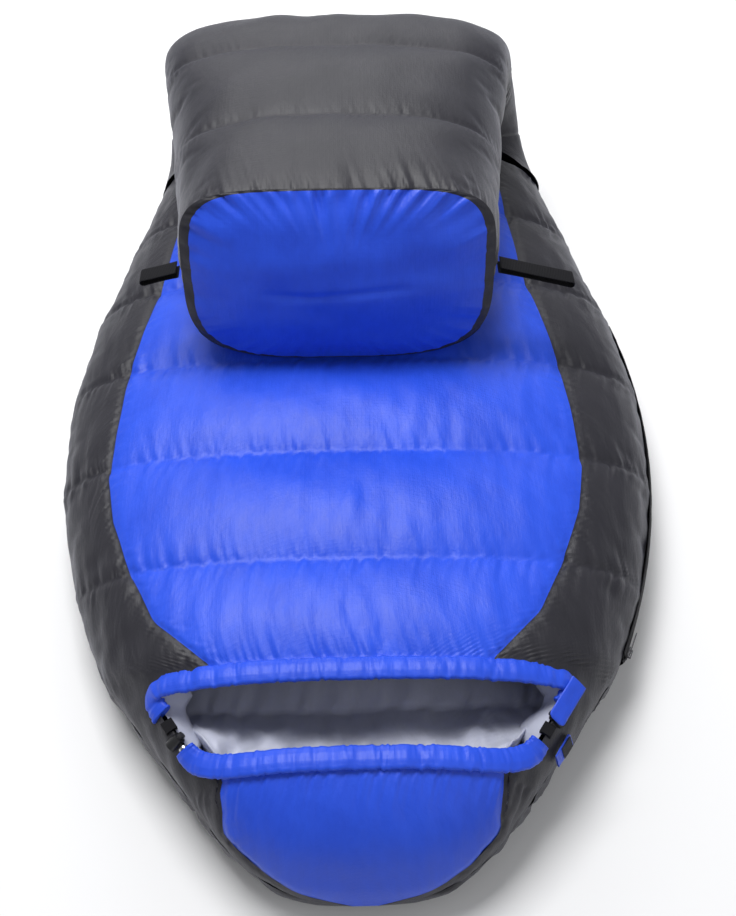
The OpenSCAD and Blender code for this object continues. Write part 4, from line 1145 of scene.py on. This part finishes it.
# light nylon: fine creases, soft sheen and, on the shell, a ripstop grid
def clothMaterial(name):
    f = finishes[name]
    t = Tree(name)
    at = t.place()
    slow = t.noise(at, 9, 3)
    fine = t.noise(t.scaled(at, (1, 0.55, 1)), 75, 4, 0.6)
    tiny = t.noise(at, 420, 2)
    u, v = t.split(at, 0), t.split(at, 1)
    height = fine * f["crinkle"] + tiny * 0.10
    if f["grid"]:
        ribs = t.wave(u, f["grid"]) ** 9 + t.wave(v, f["grid"]) ** 9
        height = height + ribs * 0.05
    weave = t.wave(u, 1500) * t.wave(v, 1500)
    normal = t.bump(height, 0.0016, 0.55)
    normal = t.bump(weave, 0.00010, 0.35, normal)
    # tone: random blotches from the slow noise, plus painted shade in the hollows of the fine crinkles and
    # painted light on their crests, as the fine noise also raises the bump
    mask = (slow - 0.5) * 0.9 + (fine - 0.5) * 0.6 + 0.5
    color = t.blend(mask, f["deep"], f["light"])
    return t.finish(Base_Color=color, Roughness=(fine - 0.5) * 0.16 + f["rough"], Normal=normal,
                    Sheen_Weight=f["sheen"], Sheen_Roughness=0.4, Sheen_Tint=f["tint"],
                    Specular_IOR_Level=f["shine"])


def toned(color, share):
    return tuple(min(1, c * share) for c in color)


# woven webbing or tape: ribs across and a twill along
def webMaterial(name, color, across=420, along=260, rough=0.72):
    t = Tree(name)
    at = t.place()
    u, v = t.split(at, 0), t.split(at, 1)
    ribs = t.wave(v + u * 0.25, along) * 0.6 + t.wave(u, across) * 0.4
    # the colour mostly follows the rib relief: painted shade in the grooves and painted light on the rib
    # tops, with a little random tone
    shade = t.blend(ribs * 0.8 + t.noise(at, 60) * 0.2, toned(color, 0.55), toned(color, 1.5))
    return t.finish(Base_Color=shade, Roughness=rough, Normal=t.bump(ribs, 0.0004, 0.7),
                    Specular_IOR_Level=0.2)


# braided cord: two sets of crossing strands
def cordMaterial(name, color):
    t = Tree(name)
    at = t.place()
    u, v = t.split(at, 0), t.split(at, 1)
    strands = t.wave(u + v * 0.8, 640) * t.wave(v * 0.8 - u, 640)
    # the colour follows the strand relief: painted shade between the strands and painted light on their
    # crowns
    shade = t.blend(strands, toned(color, 0.5), toned(color, 1.6))
    return t.finish(Base_Color=shade, Roughness=0.6, Normal=t.bump(strands, 0.0003, 0.8))


# moulded plastic or metal with faint handling marks
def hardMaterial(name, color, rough, metal=0.0, scratch=0.06):
    t = Tree(name)
    at = t.add("ShaderNodeTexCoord", {}, out=3)
    marks = t.noise(at, 260, 4, 0.65)
    shade = t.blend(t.noise(at, 40), toned(color, 0.85), toned(color, 1.12))
    return t.finish(Base_Color=shade, Roughness=marks * scratch * 2 + (rough - scratch), Metallic=metal,
                    Normal=t.bump(marks, 0.00008, 0.3))


# hook and loop tape
def fuzzyMaterial(name, color):
    t = Tree(name)
    at = t.add("ShaderNodeTexCoord", {}, out=3)
    hooks = t.add("ShaderNodeTexVoronoi", {}, {"Vector": at, "Scale": 900})
    shade = t.blend(hooks, toned(color, 1.8), toned(color, 0.6))
    return t.finish(Base_Color=shade, Roughness=0.9, Normal=t.bump(hooks, 0.0006, 0.8))


blueShell, charcoalShell = clothMaterial("blueShell"), clothMaterial("charcoalShell")
greyLining, paintedShadeLining = clothMaterial("greyLining"), clothMaterial("paintedShadeLining")
blackWeb = webMaterial("blackWeb", (0.007, 0.007, 0.009), rough=0.85)
zipTape = webMaterial("zipTape", (0.016, 0.016, 0.019), 900, 500)
blackCord = cordMaterial("blackCord", (0.02, 0.02, 0.024))
coilPlastic = hardMaterial("coilPlastic", (0.02, 0.02, 0.023), 0.38)
lockPlastic = hardMaterial("lockPlastic", (0.014, 0.014, 0.016), 0.36)
buttonPlastic = hardMaterial("buttonPlastic", (0.03, 0.03, 0.034), 0.42)
darkMetal = hardMaterial("darkMetal", (0.10, 0.10, 0.11), 0.34, 0.8)
steel = hardMaterial("steel", (0.58, 0.59, 0.61), 0.28, 1.0)
hookTape = fuzzyMaterial("hookTape", (0.02, 0.02, 0.024))


# finish, body and material slot of a piece, and the CAD nodes that it stands for
def dress(thing, material, body, slotName, nodes):
    thing.data.materials.clear()
    thing.data.materials.append(material)
    if body:
        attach(thing, body)
    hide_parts(*nodes.split())


for row in (
    (chestPanel, blueShell, "torso", "blue_shell", "chest_shell chest_down chest_baffle_walls"),
    (leftFlank, charcoalShell, "torso", "charcoal_shell", "left_side_shell left_side_down"),
    (rightFlank, charcoalShell, "torso", "charcoal_shell", "right_side_shell right_side_down"),
    (hoodPanel, blueShell, "torso", "blue_shell", "hood_crown_shell hood_crown_down"),
    (hoodLeft, charcoalShell, "torso", "charcoal_shell", "hood_left_shell hood_left_down"),
    (hoodRight, charcoalShell, "torso", "charcoal_shell", "hood_right_shell hood_right_down"),
    (baseQuilt, charcoalShell, "torso", "charcoal_shell", "base_shell base_down base_baffle_walls"),
    (chestRim, blueShell, "torso", "blue_shell", "chest_rim"),
    (hoodRim, blueShell, "torso", "blue_shell", "hood_rim"),
    (neckCord, blackCord, "torso", "cord", "neck_drawcord"),
    (hoodCord, blackCord, "torso", "cord", "hood_drawcord"),
    (bodyLining, greyLining, "torso", "lining", "chest_lining hood_lining"),
    (floorPiece, greyLining, "torso", "lining", "base_lining"),
    # the collar takes the darker copy of the lining: painted shade
    (neckCollar, paintedShadeLining, "torso", "lining", "neck_collar"),
    (draughtTube, greyLining, "torso", "lining", "zip_draught_tube"),
    (tapeUpper, zipTape, "torso", "zip_tape", "zip_tape_upper"),
    (tapeLower, zipTape, "torso", "zip_tape", "zip_tape_lower"),
    (coilUpper, coilPlastic, "torso", "zip_coil", "zip_coil_upper"),
    (coilLower, coilPlastic, "torso", "zip_coil", "zip_coil_lower"),
    (legTop, charcoalShell, "foot_section", "charcoal_shell", "foot_back_shell foot_back_down foot_lining"),
    (legFront, charcoalShell, "foot_section", "charcoal_shell", "foot_front_shell"),
    (toePanel, blueShell, "foot_section", "blue_shell", "foot_front_panel foot_front_down"),
    (endPanel, blueShell, "foot_section", "blue_shell", "foot_end_shell foot_end_down foot_end_lining"),
    (rightLoop, blackWeb, "right_loop", "webbing", "right_hang_loop"),
    (leftLoop, blackWeb, "left_loop", "webbing", "left_hang_loop"),
    (upperTab, blueShell, "upper_flap", "blue_shell", "upper_tab"),
    (lowerTab, blueShell, "lower_flap", "blue_shell", "lower_tab"),
    (kneeFold, charcoalShell, None, "charcoal_shell", "knee_fold_shell knee_fold_down knee_fold_lining"),
):
    dress(*row)
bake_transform(kneeFold)

carried = {
    "zip_slider": darkMetal, "zip_puller": darkMetal, "zip_stops": darkMetal, "eyelets": steel,
    "left_lock_barrel": lockPlastic, "right_lock_barrel": lockPlastic,
    "left_lock_plunger": buttonPlastic, "right_lock_plunger": buttonPlastic,
    "left_lock_spring": steel, "right_lock_spring": steel,
    "upper_tab_hook_pad": hookTape, "lower_tab_loop_pad": hookTape, "cord_anchors": blackWeb,
}
for node, material in carried.items():
    thing = frame["nodes"][node]
    thing.data.materials.clear()
    thing.data.materials.append(material)
    if node not in ("left_lock_spring", "right_lock_spring"):
        edge = thing.modifiers.new("softEdge", "BEVEL")
        edge.width, edge.segments = (0.003, 4) if node == "cord_anchors" else (0.0004, 2)
        edge.limit_method, edge.angle_limit = "ANGLE", math.radians(40)
for side in ("left", "right"):
    spring = frame["nodes"][side + "_lock_spring"]
    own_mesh(spring)
print("materials set")


# stage, light and camera

stageSet = {"floor": 0.86, "world": 0.33, "key": 100, "back": 34, "fill": 10}


def stageMaterial(name, tone):
    t = Tree(name)
    shader = t.add("ShaderNodeBsdfDiffuse", {}, {0: (tone, tone, tone * 1.01, 1)})
    t.add("ShaderNodeOutputMaterial", {}, {0: shader})
    return t.material


mesh = bpy.data.meshes.new("floor")
corners = [(x, y, -0.0005) for x, y in ((-30, -30), (30, -30), (30, 30), (-30, 30))]
mesh.from_pydata(corners, [], [(0, 1, 2, 3)])
floor = placed("floor", mesh)
floor.data.materials.append(stageMaterial("floorTone", stageSet["floor"]))

world = bpy.data.worlds.new("studio")
bpy.context.scene.world = world
world.use_nodes = True
nodes, links = world.node_tree.nodes, world.node_tree.links
nodes.clear()
path = nodes.new("ShaderNodeLightPath")
soft, seen = nodes.new("ShaderNodeBackground"), nodes.new("ShaderNodeBackground")
soft.inputs[0].default_value, soft.inputs[1].default_value = (0.97, 0.98, 1, 1), stageSet["world"]
seen.inputs[0].default_value, seen.inputs[1].default_value = (1, 1, 1, 1), 1.0
mix, output = nodes.new("ShaderNodeMixShader"), nodes.new("ShaderNodeOutputWorld")
links.new(path.outputs["Is Camera Ray"], mix.inputs[0])
links.new(soft.outputs[0], mix.inputs[1])
links.new(seen.outputs[0], mix.inputs[2])
links.new(mix.outputs[0], output.inputs[0])


def lamp(name, at, toward, size, power):
    data = bpy.data.lights.new(name, "AREA")
    data.shape, data.size, data.size_y, data.energy = "RECTANGLE", size[0], size[1], power
    thing = placed(name, data)
    thing.location = at
    thing.rotation_euler = (Vector(toward) - Vector(at)).to_track_quat("-Z", "Y").to_euler()


lamp("key", (-0.5, 0.75, 3.1), (0, 0, 0.1), (1.6, 1.3), stageSet["key"])
lamp("back", (-0.2, 3.0, 1.9), (0, 0.2, 0.2), (3.0, 1.4), stageSet["back"])
lamp("fill", (1.8, -1.9, 2.0), (0, 0, 0.1), (2.2, 1.6), stageSet["fill"])

bpy.context.scene.view_settings.view_transform = "Standard"
data = bpy.data.cameras.new("camera")
data.sensor_width, data.lens = 36, 41.3
camera = placed("camera", data)
camera.location = (-0.005, -1.01, 1.266)
pitch, yaw = math.radians(52), math.radians(1.3)
look = Vector((math.sin(yaw) * math.cos(pitch), math.cos(yaw) * math.cos(pitch), -math.sin(pitch)))
camera.rotation_euler = look.to_track_quat("-Z", "Y").to_euler()
bpy.context.scene.camera = camera

print("scene ready")
